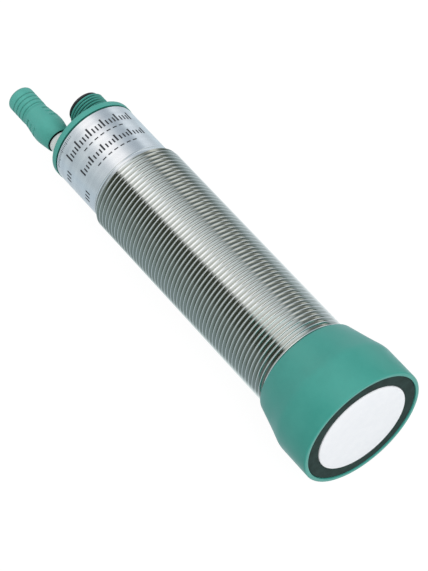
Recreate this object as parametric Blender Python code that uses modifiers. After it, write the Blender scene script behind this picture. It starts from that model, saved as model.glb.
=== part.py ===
"""Cylindrical ultrasonic distance sensor with an M30 barrel, an M12 connector and a push-in program plug.

The sensor's axis is X. The sensing face is at x = 0 and looks along +X, and the connector and the
plug are at the rear, towards -X. Every size is in millimetres and becomes metres where a shape is made.
"""

from math import ceil, cos, pi, radians, sin, sqrt

import bmesh
import bpy

MM = 0.001
MERGE_DISTANCE = 0.00001

# Clearances
SEAT_GAP = 0.3
PIN_GAP = 0.32

# Chamfers: a negative rounding in an outline's corner
FINE_CHAMFER = -0.2
EDGE_CHAMFER = -0.3
BROAD_CHAMFER = -0.5

# Head
HEAD_DIAMETER = 38.8
HEAD_CYLINDER_LENGTH = 12.0
HEAD_BEND_FROM_FRONT = 16.0
HEAD_BEND_DIAMETER = 36.4
HEAD_LENGTH = 25.0
HEAD_NECK_STEP = 1.05
HEAD_RIM_WALL = 1.2
HEAD_REAR_ROUNDING = 1.5
HEAD_SPIGOT_LENGTH = 8.0
HEAD_SPIGOT_WALL = 2.2

# Sensing face and what is behind it
FACE_THICKNESS = 6.0
RING_WALL = 3.1
RING_DEPTH = 10.0
RING_RECESS = 0.25
PIEZO_MARGIN = 3.5
PIEZO_THICKNESS = 5.0
DAMPING_THICKNESS = 6.0
LEAD_DIAMETER = 0.7
LEAD_SPACING = 10.0
LEAD_STRAIGHT_LENGTH = 4.0
LEAD_ON_BOARD_LENGTH = 6.0
LEAD_BEND_STEPS = 5

# Barrel
BARREL_LENGTH = 98.9
BARREL_WALL = 1.35
THREAD_DIAMETER = 29.9
THREAD_PITCH = 1.5
THREAD_DEPTH = 0.85
THREAD_LENGTH = 77.3
THREAD_STOCK = 0.1
RUNOUT_LENGTH = 3.5
SMOOTH_STEP = 1.2
BARREL_CHAMFER = 0.7

# Seal rings in the grooves of the head's and the cap's spigots
SEAL_SECTION = 1.0
SEAL_FROM_SHOULDER = 3.0

# Rear cap
CAP_RIM_STEP = 0.15
CAP_RIM_THICKNESS = 2.1
CAP_PLATE_THICKNESS = 4.3
CAP_SPIGOT_LENGTH = 9.0
CAP_SPIGOT_WALL = 1.9
CAP_EDGE_ROUNDING = 0.35

# M12 connector
CONNECTOR_OFFSET = 4.95
CONNECTOR_DIAMETER = 11.9
CONNECTOR_PITCH = 1.0
CONNECTOR_THREAD_DEPTH = 0.6
CONNECTOR_LENGTH = 9.3
CONNECTOR_BORE = 9.2
CONNECTOR_CHAMFER = 0.55
CONNECTOR_RELIEF_LENGTH = 0.8
CONNECTOR_RELIEF_CONE = 0.4
INSERT_WALL = 0.5
INSERT_RIM_DIAMETER = 10.5
INSERT_RIM_THICKNESS = 0.7
INSERT_BASE_THICKNESS = 6.4
INSERT_KEY_WIDTH = 1.2
INSERT_KEY_HEIGHT = 0.7
INSERT_KEY_FROM_FLOOR = 0.5
PIN_DIAMETER = 1.0
PIN_CIRCLE = 5.0
PIN_RECESS = 1.7
PIN_TAIL = 3.0

# Clear collar that holds the plug
SOCKET_OFFSET = -7.1
COLLAR_DIAMETER = 7.3
COLLAR_NECK_DIAMETER = 6.8
COLLAR_SPIGOT_DIAMETER = 6.6
COLLAR_BORE = 5.5
COLLAR_BASE_LENGTH = 6.8
COLLAR_NECK_LENGTH = 4.2
COLLAR_SPIGOT_LENGTH = 5.0
SOCKET_RECESS = 1.2
SOCKET_LENGTH = 12.4

# Push-in program plug
PLUG_LENGTH = 21.3
PLUG_FRONT_DIAMETER = 8.2
PLUG_FLARE_DIAMETER = 10.1
PLUG_FLARE_FROM_FRONT = 5.6
PLUG_WAIST_DIAMETER = 8.1
PLUG_WAIST_FROM_FRONT = 12.6
PLUG_TUBE_DIAMETER = 8.4
PLUG_FLARE_ROUNDING = 4.0
PLUG_WAIST_ROUNDING = 2.0
PLUG_TIP_ROUNDING = 0.8
PLUG_BORE = 5.8
PLUG_END_WALL = 1.5
RIB_PITCH = 1.67
RIB_COUNT = 4
RIB_GROOVE_WIDTH = 0.7
RIB_GROOVE_DEPTH = 0.28
NOTCH_COUNT = 3
NOTCH_FROM_TIP = 10.7
NOTCH_PITCH = 2.0
NOTCH_RADIUS = 0.45
NOTCH_DEPTH = 0.32
CARRIER_THICKNESS = 5.0
PLUG_PIN_DIAMETER = 0.72
PLUG_PIN_CIRCLE = 2.7
PLUG_PIN_REACH = 4.8
PLUG_PIN_TAIL = 1.1

# Electronics
BOARD_THICKNESS = 1.6
BOARD_TOP = -1.0
BOARD_FROM_SPIGOT = 2.0
BOARD_END_MARGIN = 3.4
TONGUE_LENGTH = 6.6
CORE_DIAMETER = 10.0
CORE_HEIGHT = 7.0
CORE_FLANGE = 1.2
CORE_POST_DIAMETER = 4.2
CORE_FROM_BOARD_FRONT = 14.0
WINDING_INSET = 0.3
CHIP_SIDE = 8.0
CHIP_THICKNESS = 1.4
CHIP_EDGE_ROUNDING = 0.3
CHIP_FROM_BOARD_FRONT = 34.0
CAN_DIAMETER = 6.3
CAN_HEIGHT = 5.6
CAN_BEAD_HEIGHT = 1.3
CAN_BEAD_WIDTH = 0.6
CAN_BEAD_DEPTH = 0.3
CAN_FROM_BOARD_FRONT = 52.0
LAMP_DIAMETER = 2.0
LAMP_LENGTH = 6.0
LAMP_SPACING = 2.8
LAMP_FLANGE = 0.2
LAMP_FLANGE_LENGTH = 1.0
LAMP_FROM_BOARD_REAR = 0.6
LAMP_FROM_SOCKET = 1.0

# Facets round each form
LARGE_STEPS = 36
THREAD_STEPS = 24
CONNECTOR_STEPS = 18
MEDIUM_STEPS = 20
INNER_STEPS = 12
SMALL_STEPS = 8
ARC_STEPS = 3

# Radii that follow from the sizes
RING_POCKET_RADIUS = HEAD_DIAMETER / 2 - HEAD_RIM_WALL
RING_RADIUS = RING_POCKET_RADIUS - SEAT_GAP
RING_INNER_RADIUS = RING_RADIUS - RING_WALL
FACE_RADIUS = RING_INNER_RADIUS - SEAT_GAP
THREAD_RADIUS = THREAD_DIAMETER / 2
SMOOTH_RADIUS = THREAD_RADIUS - SMOOTH_STEP
BORE_RADIUS = SMOOTH_RADIUS - BARREL_WALL
SPIGOT_RADIUS = BORE_RADIUS - SEAT_GAP
HEAD_NECK_RADIUS = THREAD_RADIUS + HEAD_NECK_STEP
CAP_RADIUS = SMOOTH_RADIUS + CAP_RIM_STEP

# Places along the axis that follow from the sizes
HEAD_REAR = -HEAD_LENGTH
BARREL_FRONT = HEAD_REAR - SEAT_GAP
BARREL_REAR = BARREL_FRONT - BARREL_LENGTH
CAP_SHOULDER = BARREL_REAR - SEAT_GAP
CAP_REAR = CAP_SHOULDER - CAP_RIM_THICKNESS
CONNECTOR_END = CAP_REAR - CONNECTOR_LENGTH
COLLAR_SEAT = CAP_REAR - SEAT_GAP
COLLAR_SHOULDER = COLLAR_SEAT - COLLAR_BASE_LENGTH
COLLAR_END = COLLAR_SHOULDER - COLLAR_NECK_LENGTH
PLUG_FRONT = COLLAR_SHOULDER - SEAT_GAP
PLUG_TIP = PLUG_FRONT - PLUG_LENGTH
PLUG_FLOOR = COLLAR_END - SEAT_GAP
SPIGOT_FRONT_END = HEAD_REAR - HEAD_SPIGOT_LENGTH
BOARD_FRONT = SPIGOT_FRONT_END - BOARD_FROM_SPIGOT
CAP_SPIGOT_FRONT = CAP_SHOULDER + CAP_SPIGOT_LENGTH
BOARD_REAR = CAP_SPIGOT_FRONT + BOARD_END_MARGIN


def make_collection(name):
    """A new collection in the scene."""
    collection = bpy.data.collections.new(name)
    bpy.context.scene.collection.children.link(collection)
    return collection


def clear_scene():
    for obj in list(bpy.data.objects):
        bpy.data.objects.remove(obj, do_unlink=True)


clear_scene()
PARTS = make_collection("ultrasonic_sensor")
CUTTERS = make_collection("cutters")


def make_material(name, colour, roughness, metallic=0.0, transmission=0.0):
    """A Principled material; colour is linear red, green and blue."""
    material = bpy.data.materials.new(name)
    material.use_nodes = True
    surface = material.node_tree.nodes["Principled BSDF"]
    surface.inputs["Base Color"].default_value = (*colour, 1.0)
    surface.inputs["Roughness"].default_value = roughness
    surface.inputs["Metallic"].default_value = metallic
    surface.inputs["Transmission Weight"].default_value = transmission
    return material


GREEN = make_material("sea_green_plastic", (0.085, 0.36, 0.29), 0.45)
NICKEL = make_material("nickel_plated_brass", (0.68, 0.67, 0.63), 0.22, metallic=1.0)
FOAM = make_material("black_foam", (0.03, 0.042, 0.042), 0.85)
WHITE = make_material("white_resin", (0.86, 0.88, 0.88), 0.5)
CERAMIC = make_material("piezo_ceramic", (0.62, 0.5, 0.33), 0.4)
DAMPING = make_material("damping_silicone", (0.2, 0.2, 0.21), 0.8)
RUBBER = make_material("black_rubber", (0.015, 0.015, 0.015), 0.6)
BLACK = make_material("black_plastic", (0.02, 0.022, 0.022), 0.4)
CLEAR = make_material("clear_plastic", (0.86, 0.88, 0.86), 0.2, transmission=0.5)
GOLD = make_material("gold_plated_brass", (0.83, 0.58, 0.2), 0.25, metallic=1.0)
BOARD = make_material("circuit_board_laminate", (0.03, 0.17, 0.09), 0.4)
FERRITE = make_material("ferrite", (0.06, 0.06, 0.06), 0.6)
COPPER = make_material("enamelled_copper", (0.55, 0.22, 0.1), 0.35, metallic=1.0)
ALUMINIUM = make_material("aluminium_can", (0.7, 0.71, 0.72), 0.35, metallic=1.0)
LEAD_RED = make_material("lead_insulation", (0.5, 0.03, 0.03), 0.5)
LAMP_GREEN = make_material("green_lamp", (0.1, 0.75, 0.25), 0.2)
LAMP_YELLOW = make_material("yellow_lamp", (0.95, 0.62, 0.05), 0.2)
RESIN = make_material("potting_resin", (0.05, 0.05, 0.06), 0.5)


def rounded(corners):
    """Outline points from corners (x, radius, rounding): a rounding becomes an arc tangent to both sides.

    A negative rounding is a plain chamfer that far back from the corner.
    """
    count = len(corners)
    points = []
    for index, (x, r, rounding) in enumerate(corners):
        if rounding == 0:
            points.append((x, r))
            continue
        before = corners[index - 1]
        after = corners[(index + 1) % count]
        to_before = (before[0] - x, before[1] - r)
        to_after = (after[0] - x, after[1] - r)
        length_before = sqrt(to_before[0] ** 2 + to_before[1] ** 2)
        length_after = sqrt(to_after[0] ** 2 + to_after[1] ** 2)
        u = (to_before[0] / length_before, to_before[1] / length_before)
        v = (to_after[0] / length_after, to_after[1] / length_after)
        half_cos = sqrt((1 + u[0] * v[0] + u[1] * v[1]) / 2)
        half_sin = sqrt(1 - half_cos**2)
        wanted = -rounding if rounding < 0 else rounding * half_cos / half_sin
        setback = min(wanted, 0.45 * length_before, 0.45 * length_after)
        start = (x + u[0] * setback, r + u[1] * setback)
        end = (x + v[0] * setback, r + v[1] * setback)
        if rounding < 0:
            points.extend((start, end))
            continue
        for step in range(ARC_STEPS + 1):
            t = step / ARC_STEPS
            weights = ((1 - t) ** 2, 2 * t * (1 - t) * half_sin, t**2)
            total = sum(weights)
            points.append(
                tuple(
                    (weights[0] * start[k] + weights[1] * (x, r)[k] + weights[2] * end[k]) / total
                    for k in range(2)
                )
            )
    return points


def profile_mesh(name, points, closed):
    """A wire outline in the local XZ plane, its edges laid so that the turned faces point out."""
    mesh = bpy.data.meshes.new(name)
    vertices = [(r * MM, 0.0, x * MM) for x, r in reversed(points)]
    edges = [(k, k + 1) for k in range(len(points) - 1)]
    if closed:
        edges.append((len(points) - 1, 0))
    mesh.from_pydata(vertices, [], edges)
    return mesh


def add_screw(obj, steps):
    screw = obj.modifiers.new("turned", "SCREW")
    screw.axis = "Z"
    screw.angle = 2 * pi
    screw.steps = steps
    screw.render_steps = steps
    screw.use_merge_vertices = True
    screw.merge_threshold = MERGE_DISTANCE
    screw.use_smooth_shade = True
    return screw


def link_piece(obj, material, collection=None):
    """Puts an object in its collection with its material."""
    (collection or PARTS).objects.link(obj)
    if material:
        obj.data.materials.append(material)
    return obj


def turned(name, corners, material, steps=LARGE_STEPS, offset=0.0, collection=None):
    """A piece turned about an axis along X. Its outline runs from the front down the outer side.

    An outline whose first and last corner lie on the axis is a solid one, and any other is a ring.
    """
    closed = corners[0][1] > 0
    obj = bpy.data.objects.new(name, profile_mesh(name, rounded(corners), closed))
    obj.rotation_euler = (0, pi / 2, 0)
    obj.location = (0, offset * MM, 0)
    link_piece(obj, material, collection)
    add_screw(obj, steps)
    return obj


def upright(name, corners, material, x, y, steps=INNER_STEPS):
    """A piece turned about a vertical axis. Its corners are (height, radius, rounding)."""
    closed = corners[0][1] > 0
    obj = bpy.data.objects.new(name, profile_mesh(name, rounded(corners), closed))
    obj.location = (x * MM, y * MM, 0)
    link_piece(obj, material)
    add_screw(obj, steps)
    return obj


def box(name, low, high, material, bevel=0.0, collection=None):
    """A block between two corners, with bevelled edges where asked."""
    bpy.ops.mesh.primitive_cube_add(size=1)
    obj = bpy.context.object
    obj.name = name
    obj.data.name = name
    centre = [(a + b) / 2 for a, b in zip(low, high)]
    for vertex in obj.data.vertices:
        vertex.co = [
            vertex.co[k] * (high[k] - low[k]) * MM + centre[k] * MM for k in range(3)
        ]
    for holder in list(obj.users_collection):
        holder.objects.unlink(obj)
    link_piece(obj, material, collection)
    if bevel:
        edge = obj.modifiers.new("edges", "BEVEL")
        edge.width = bevel * MM
        edge.segments = 2
    return obj


def as_cutter(obj):
    """Marks an object as a cutting shape, which isn't a piece."""
    obj.hide_render = True
    obj.display_type = "WIRE"
    return obj


def rod_cutter(name, diameter, front, rear, y=0.0, z=0.0, steps=SMALL_STEPS):
    """A cutting rod along X."""
    corners = [(front, 0, 0), (front, diameter / 2, 0), (rear, diameter / 2, 0), (rear, 0, 0)]
    cutter = turned(name, corners, None, steps, y, CUTTERS)
    cutter.location.z = z * MM
    return as_cutter(cutter)


def combine(obj, other, operation="DIFFERENCE"):
    """Cuts, joins or intersects one object with another."""
    boolean = obj.modifiers.new(other.name, "BOOLEAN")
    boolean.operation = operation
    boolean.solver = "EXACT"
    boolean.object = other


def finish_cuts(obj):
    """Welds the points that meet along the cuts of a piece."""
    weld = obj.modifiers.new("cut edges", "WELD")
    weld.merge_threshold = MERGE_DISTANCE


def on_circle(diameter, count, start_degrees=45.0):
    """Places (y, z) spread evenly on a circle."""
    places = []
    for index in range(count):
        angle = radians(start_degrees) + 2 * pi * index / count
        places.append((diameter / 2 * cos(angle), diameter / 2 * sin(angle)))
    return places


def threaded_bar(name, diameter, depth, pitch, front, rear, steps, offset=0.0):
    """A cutting bar with a right-hand thread from front to rear and a pointed cap at each end."""
    crest = diameter / 2
    outline = [(rear + pitch, crest), (rear + pitch / 2, crest - depth), (rear, crest)]
    wire = bpy.data.objects.new(name + "_wire", profile_mesh(name, outline, False))
    CUTTERS.objects.link(wire)
    screw = add_screw(wire, steps)
    screw.use_merge_vertices = False
    screw.screw_offset = pitch * MM
    screw.iterations = ceil((front - rear) / pitch)
    weld = wire.modifiers.new("turns", "WELD")
    weld.merge_threshold = MERGE_DISTANCE
    bpy.context.view_layer.update()
    evaluated = wire.evaluated_get(bpy.context.evaluated_depsgraph_get())
    mesh = bpy.data.meshes.new_from_object(evaluated)
    bpy.data.objects.remove(wire, do_unlink=True)
    close_ends(mesh, 3 * pitch * MM)
    bar = bpy.data.objects.new(name, mesh)
    CUTTERS.objects.link(bar)
    bar.rotation_euler = (0, pi / 2, 0)
    bar.location = (0, offset * MM, 0)
    return as_cutter(bar)


def close_ends(mesh, reach):
    """Closes both open ends of a tube along Z, each with a cone to a point on the axis."""
    solid = bmesh.new()
    solid.from_mesh(mesh)
    open_edges = [edge for edge in solid.edges if edge.is_boundary]
    heights = [vertex.co.z for vertex in solid.verts]
    middle = (min(heights) + max(heights)) / 2
    low_point = solid.verts.new((0, 0, min(heights) - reach))
    high_point = solid.verts.new((0, 0, max(heights) + reach))
    for edge in open_edges:
        first, second = edge.verts
        point = low_point if first.co.z < middle else high_point
        solid.faces.new((first, second, point))
    bmesh.ops.recalc_face_normals(solid, faces=solid.faces)
    solid.to_mesh(mesh)
    solid.free()


def seal_groove(shoulder, direction, radius):
    """Corners of a seal ring's groove in a spigot, in the order that the outline meets them."""
    width = SEAL_SECTION + 2 * SEAT_GAP
    bottom = radius - SEAL_SECTION - SEAT_GAP
    near = shoulder + direction * SEAL_FROM_SHOULDER
    far = near + direction * width
    front, back = max(near, far), min(near, far)
    return [(front, radius, 0), (front, bottom, 0), (back, bottom, 0), (back, radius, 0)]


def make_head():
    """The moulded head: cylinder, two cones, rounded rear edge, pockets in front and a spigot behind."""
    radius = HEAD_DIAMETER / 2
    inner_pocket = RING_INNER_RADIUS + SEAT_GAP
    ring_floor = -(RING_RECESS + RING_DEPTH + SEAT_GAP)
    floor = damping_rear() - SEAT_GAP
    bore = SPIGOT_RADIUS - HEAD_SPIGOT_WALL
    corners = [
        (0, RING_POCKET_RADIUS, 0),
        (0, radius, BROAD_CHAMFER),
        (-HEAD_CYLINDER_LENGTH, radius, BROAD_CHAMFER),
        (-HEAD_BEND_FROM_FRONT, HEAD_BEND_DIAMETER / 2, 0),
        (HEAD_REAR, HEAD_NECK_RADIUS, HEAD_REAR_ROUNDING),
        (HEAD_REAR, SPIGOT_RADIUS, 0),
        *seal_groove(HEAD_REAR, -1, SPIGOT_RADIUS),
        (SPIGOT_FRONT_END, SPIGOT_RADIUS, EDGE_CHAMFER),
        (SPIGOT_FRONT_END, bore, 0),
        (floor, bore, 0),
        (floor, inner_pocket, 0),
        (ring_floor, inner_pocket, 0),
        (ring_floor, RING_POCKET_RADIUS, 0),
    ]
    return turned("head_housing", corners, GREEN)


def piezo_rear():
    return -(FACE_THICKNESS + SEAT_GAP + PIEZO_THICKNESS)


def damping_rear():
    return piezo_rear() - SEAT_GAP - DAMPING_THICKNESS


def make_ring():
    """The soft ring that keeps the sensing face's vibration out of the head."""
    rear = -(RING_RECESS + RING_DEPTH)
    corners = [
        (-RING_RECESS, RING_INNER_RADIUS, 0),
        (-RING_RECESS, RING_RADIUS, EDGE_CHAMFER),
        (rear, RING_RADIUS, 0),
        (rear, RING_INNER_RADIUS, 0),
    ]
    return turned("decoupling_ring", corners, FOAM)


def make_face():
    """The white matching layer, whose front is the sensing face."""
    corners = [
        (0, 0, 0),
        (0, FACE_RADIUS, FINE_CHAMFER),
        (-FACE_THICKNESS, FACE_RADIUS, 0),
        (-FACE_THICKNESS, 0, 0),
    ]
    return turned("transducer_face", corners, WHITE)


def make_piezo():
    front = -(FACE_THICKNESS + SEAT_GAP)
    radius = FACE_RADIUS - PIEZO_MARGIN
    corners = [(front, 0, 0), (front, radius, 0), (piezo_rear(), radius, 0), (piezo_rear(), 0, 0)]
    return turned("piezo_disc", corners, CERAMIC, INNER_STEPS)


def make_damping():
    """The soft block behind the disc, with a hole for each lead."""
    front = piezo_rear() - SEAT_GAP
    rear = damping_rear()
    radius = RING_INNER_RADIUS
    corners = [(front, 0, 0), (front, radius, 0), (rear, radius, BROAD_CHAMFER), (rear, 0, 0)]
    block = turned("damping_block", corners, DAMPING, INNER_STEPS)
    hole = LEAD_DIAMETER + 2 * SEAT_GAP
    for name, y in (("lead_hole_a", LEAD_SPACING / 2), ("lead_hole_b", -LEAD_SPACING / 2)):
        combine(block, rod_cutter(name, hole, front + 1, rear - 1, y))
    return block


def make_lead(name, y):
    """An insulated wire from the disc, through the block, down to the circuit board."""
    start = piezo_rear() - SEAT_GAP
    end = BOARD_FRONT - LEAD_ON_BOARD_LENGTH
    end_height = BOARD_TOP + SEAT_GAP + LEAD_DIAMETER / 2
    straight = damping_rear() - LEAD_STRAIGHT_LENGTH
    curve = bpy.data.curves.new(name, "CURVE")
    curve.dimensions = "3D"
    curve.bevel_depth = LEAD_DIAMETER / 2 * MM
    curve.bevel_resolution = 2
    curve.use_fill_caps = True
    spline = curve.splines.new("POLY")
    spline.points.add(LEAD_BEND_STEPS + 1)
    spline.points[0].co = (start * MM, y * MM, 0, 1)
    for index in range(LEAD_BEND_STEPS + 1):
        t = index / LEAD_BEND_STEPS
        height = end_height * (1 - cos(pi * t)) / 2
        x = straight + (end - straight) * t
        spline.points[index + 1].co = (x * MM, y * MM, height * MM, 1)
    lead = bpy.data.objects.new(name, curve)
    return link_piece(lead, LEAD_RED)


def make_seal(name, shoulder, direction):
    """An O-ring in the middle of its groove, SEAT_GAP off the groove and the barrel."""
    x = shoulder + direction * (SEAL_FROM_SHOULDER + SEAT_GAP + SEAL_SECTION / 2)
    bpy.ops.mesh.primitive_torus_add(
        major_radius=(SPIGOT_RADIUS - SEAL_SECTION / 2) * MM,
        minor_radius=SEAL_SECTION / 2 * MM,
        major_segments=MEDIUM_STEPS,
        minor_segments=6,
        location=(x * MM, 0, 0),
        rotation=(0, pi / 2, 0),
    )
    seal = bpy.context.object
    seal.name = name
    for holder in list(seal.users_collection):
        holder.objects.unlink(seal)
    seal.data.shade_smooth()
    return link_piece(seal, RUBBER)


def make_barrel():
    """The sleeve: its M30 thread runs out on a cone into the smooth rear section."""
    blank = THREAD_RADIUS + THREAD_STOCK
    thread_end = BARREL_FRONT - THREAD_LENGTH
    corners = [
        (BARREL_FRONT, BORE_RADIUS, 0),
        (BARREL_FRONT, THREAD_RADIUS - BARREL_CHAMFER, 0),
        (BARREL_FRONT - BARREL_CHAMFER - THREAD_STOCK, blank, 0),
        (thread_end, blank, 0),
        (thread_end - RUNOUT_LENGTH, SMOOTH_RADIUS, 0),
        (BARREL_REAR, SMOOTH_RADIUS, FINE_CHAMFER),
        (BARREL_REAR, BORE_RADIUS, 0),
    ]
    barrel = turned("barrel", corners, NICKEL)
    bar = threaded_bar(
        "barrel_thread",
        THREAD_DIAMETER,
        THREAD_DEPTH,
        THREAD_PITCH,
        BARREL_FRONT + 2 * THREAD_PITCH,
        BARREL_REAR - 2 * THREAD_PITCH,
        THREAD_STEPS,
    )
    combine(barrel, bar, "INTERSECT")
    return barrel


def make_connector_collar():
    """The threaded collar of the M12 connector, which the cap takes up as one moulding."""
    crest = CONNECTOR_DIAMETER / 2
    root = crest - CONNECTOR_THREAD_DEPTH
    inside = CAP_REAR + CAP_RIM_THICKNESS
    relief = CAP_REAR - CONNECTOR_RELIEF_LENGTH
    corners = [
        (inside, 0, 0),
        (inside, root - THREAD_STOCK, 0),
        (relief, root - THREAD_STOCK, 0),
        (relief - CONNECTOR_RELIEF_CONE, crest + THREAD_STOCK, 0),
        (CONNECTOR_END + CONNECTOR_CHAMFER + THREAD_STOCK, crest + THREAD_STOCK, 0),
        (CONNECTOR_END, crest - CONNECTOR_CHAMFER, 0),
        (CONNECTOR_END, 0, 0),
    ]
    collar = turned("connector_collar", corners, None, CONNECTOR_STEPS, CONNECTOR_OFFSET, CUTTERS)
    bar = threaded_bar(
        "connector_thread",
        CONNECTOR_DIAMETER,
        CONNECTOR_THREAD_DEPTH,
        CONNECTOR_PITCH,
        inside + CONNECTOR_PITCH,
        CONNECTOR_END - 2 * CONNECTOR_PITCH,
        CONNECTOR_STEPS,
        CONNECTOR_OFFSET,
    )
    combine(collar, bar, "INTERSECT")
    return as_cutter(collar)


def make_cap():
    """The moulded end cap: rim, hollow spigot with its seal groove, threaded collar and two holes."""
    floor = CAP_REAR + CAP_PLATE_THICKNESS
    inner = SPIGOT_RADIUS - CAP_SPIGOT_WALL
    groove = seal_groove(CAP_SHOULDER, 1, SPIGOT_RADIUS)
    corners = [
        (floor, 0, 0),
        (floor, inner, 0),
        (CAP_SPIGOT_FRONT, inner, 0),
        (CAP_SPIGOT_FRONT, SPIGOT_RADIUS, EDGE_CHAMFER),
        *groove,
        (CAP_SHOULDER, SPIGOT_RADIUS, 0),
        (CAP_SHOULDER, CAP_RADIUS, FINE_CHAMFER),
        (CAP_REAR, CAP_RADIUS, CAP_EDGE_ROUNDING),
        (CAP_REAR, 0, 0),
    ]
    cap = turned("rear_cap", corners, GREEN)
    combine(cap, make_connector_collar(), "UNION")
    bore_front = insert_front() + SEAT_GAP
    bore = rod_cutter(
        "connector_bore",
        CONNECTOR_BORE,
        bore_front,
        CONNECTOR_END - 1,
        CONNECTOR_OFFSET,
        steps=MEDIUM_STEPS,
    )
    combine(cap, bore)
    hole = rod_cutter(
        "socket_hole",
        COLLAR_SPIGOT_DIAMETER + 2 * SEAT_GAP,
        COLLAR_SEAT + COLLAR_SPIGOT_LENGTH + SEAT_GAP,
        CAP_REAR - 1,
        SOCKET_OFFSET,
        steps=MEDIUM_STEPS,
    )
    combine(cap, hole)
    finish_cuts(cap)
    return cap


def insert_rear():
    return CONNECTOR_END - SEAT_GAP - INSERT_RIM_THICKNESS


def insert_front():
    return CAP_REAR + CAP_PLATE_THICKNESS + SEAT_GAP


def make_insert():
    """The black pin carrier: a base with five holes and a thin cup that ends in a rim over the collar."""
    sleeve = CONNECTOR_BORE / 2 - SEAT_GAP
    cavity = sleeve - INSERT_WALL
    rim_front = CONNECTOR_END - SEAT_GAP
    front = insert_front()
    floor = front - INSERT_BASE_THICKNESS
    corners = [
        (front, 0, 0),
        (front, sleeve, EDGE_CHAMFER),
        (rim_front, sleeve, 0),
        (rim_front, INSERT_RIM_DIAMETER / 2, FINE_CHAMFER),
        (insert_rear(), INSERT_RIM_DIAMETER / 2, FINE_CHAMFER),
        (insert_rear(), cavity, 0),
        (floor, cavity, 0),
        (floor, 0, 0),
    ]
    insert = turned("connector_insert", corners, BLACK, MEDIUM_STEPS, CONNECTOR_OFFSET)
    key = box(
        "connector_key",
        (rim_front, CONNECTOR_OFFSET - INSERT_KEY_WIDTH / 2, cavity - INSERT_KEY_HEIGHT),
        (floor + INSERT_KEY_FROM_FLOOR, CONNECTOR_OFFSET + INSERT_KEY_WIDTH / 2, cavity + INSERT_WALL / 2),
        None,
        collection=CUTTERS,
    )
    combine(insert, as_cutter(key), "UNION")
    for number, (y, z) in enumerate(pin_places(), 1):
        diameter = PIN_DIAMETER + 2 * PIN_GAP
        hole = rod_cutter(f"pin_hole_{number}", diameter, front + 1, floor - 1, CONNECTOR_OFFSET + y, z)
        combine(insert, hole)
    finish_cuts(insert)
    return insert


def pin_places():
    """Four pins on the pin circle and one in its middle."""
    return [*on_circle(PIN_CIRCLE, 4), (0.0, 0.0)]


def make_pin(name, diameter, front, rear, material, y, z):
    """A round contact pin with a rounded rear tip."""
    radius = diameter / 2
    corners = [(front, 0, 0), (front, radius, 0), (rear, radius, -0.5 * radius), (rear, 0, 0)]
    pin = turned(name, corners, material, SMALL_STEPS, y)
    pin.location.z = z * MM
    return pin


def make_connector_pins():
    front = insert_front() + PIN_TAIL
    rear = insert_rear() + PIN_RECESS
    for number, (y, z) in enumerate(pin_places(), 1):
        make_pin(f"contact_pin_{number}", PIN_DIAMETER, front, rear, GOLD, CONNECTOR_OFFSET + y, z)


def make_collar():
    """The clear collar on the cap: spigot through the cap, base, and the neck that the plug fits over."""
    bore = COLLAR_BORE / 2
    front = COLLAR_SEAT + COLLAR_SPIGOT_LENGTH
    corners = [
        (front, bore, 0),
        (front, COLLAR_SPIGOT_DIAMETER / 2, 0),
        (COLLAR_SEAT, COLLAR_SPIGOT_DIAMETER / 2, 0),
        (COLLAR_SEAT, COLLAR_DIAMETER / 2, 0),
        (COLLAR_SHOULDER, COLLAR_DIAMETER / 2, FINE_CHAMFER),
        (COLLAR_SHOULDER, COLLAR_NECK_DIAMETER / 2, 0),
        (COLLAR_END, COLLAR_NECK_DIAMETER / 2, FINE_CHAMFER),
        (COLLAR_END, bore, 0),
    ]
    return turned("socket_collar", corners, CLEAR, MEDIUM_STEPS, SOCKET_OFFSET)


def cut_plug_pin_holes(obj, front, rear, prefix):
    for number, (y, z) in enumerate(on_circle(PLUG_PIN_CIRCLE, 4), 1):
        diameter = PLUG_PIN_DIAMETER + 2 * PIN_GAP
        hole = rod_cutter(f"{prefix}_{number}", diameter, front + 1, rear - 1, SOCKET_OFFSET + y, z)
        combine(obj, hole)
    finish_cuts(obj)


def make_socket_insert():
    """The contact carrier in the clear collar, with a hole for each pin of the plug."""
    rear = COLLAR_END + SOCKET_RECESS
    front = rear + SOCKET_LENGTH
    radius = COLLAR_BORE / 2 - SEAT_GAP
    corners = [(front, 0, 0), (front, radius, 0), (rear, radius, 0), (rear, 0, 0)]
    insert = turned("socket_insert", corners, BLACK, INNER_STEPS, SOCKET_OFFSET)
    cut_plug_pin_holes(insert, front, rear, "socket_contact")
    return insert


def plug_outline():
    """The plug's outer corners: skirt, flare, waist and ribbed tube."""
    waist = PLUG_FRONT - PLUG_WAIST_FROM_FRONT
    flare = PLUG_FRONT - PLUG_FLARE_FROM_FRONT
    tube = PLUG_TUBE_DIAMETER / 2
    corners = [
        (PLUG_FRONT, PLUG_FRONT_DIAMETER / 2, FINE_CHAMFER),
        (flare, PLUG_FLARE_DIAMETER / 2, PLUG_FLARE_ROUNDING),
        (waist, PLUG_WAIST_DIAMETER / 2, PLUG_WAIST_ROUNDING),
    ]
    for index in reversed(range(RIB_COUNT)):
        groove = PLUG_TIP + RIB_PITCH * (index + 1)
        corners.append((groove + RIB_GROOVE_WIDTH / 2, tube, 0))
        corners.append((groove, tube - RIB_GROOVE_DEPTH, 0))
        corners.append((groove - RIB_GROOVE_WIDTH / 2, tube, 0))
    corners.append((PLUG_TIP, tube, PLUG_TIP_ROUNDING))
    corners.append((PLUG_TIP, 0, 0))
    return corners


def plug_radius_at(x):
    """The plug's outer radius on its flare, between the flare's widest place and the waist."""
    share = (PLUG_FRONT - PLUG_FLARE_FROM_FRONT - x) / (PLUG_WAIST_FROM_FRONT - PLUG_FLARE_FROM_FRONT)
    return (PLUG_FLARE_DIAMETER * (1 - share) + PLUG_WAIST_DIAMETER * share) / 2


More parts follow.
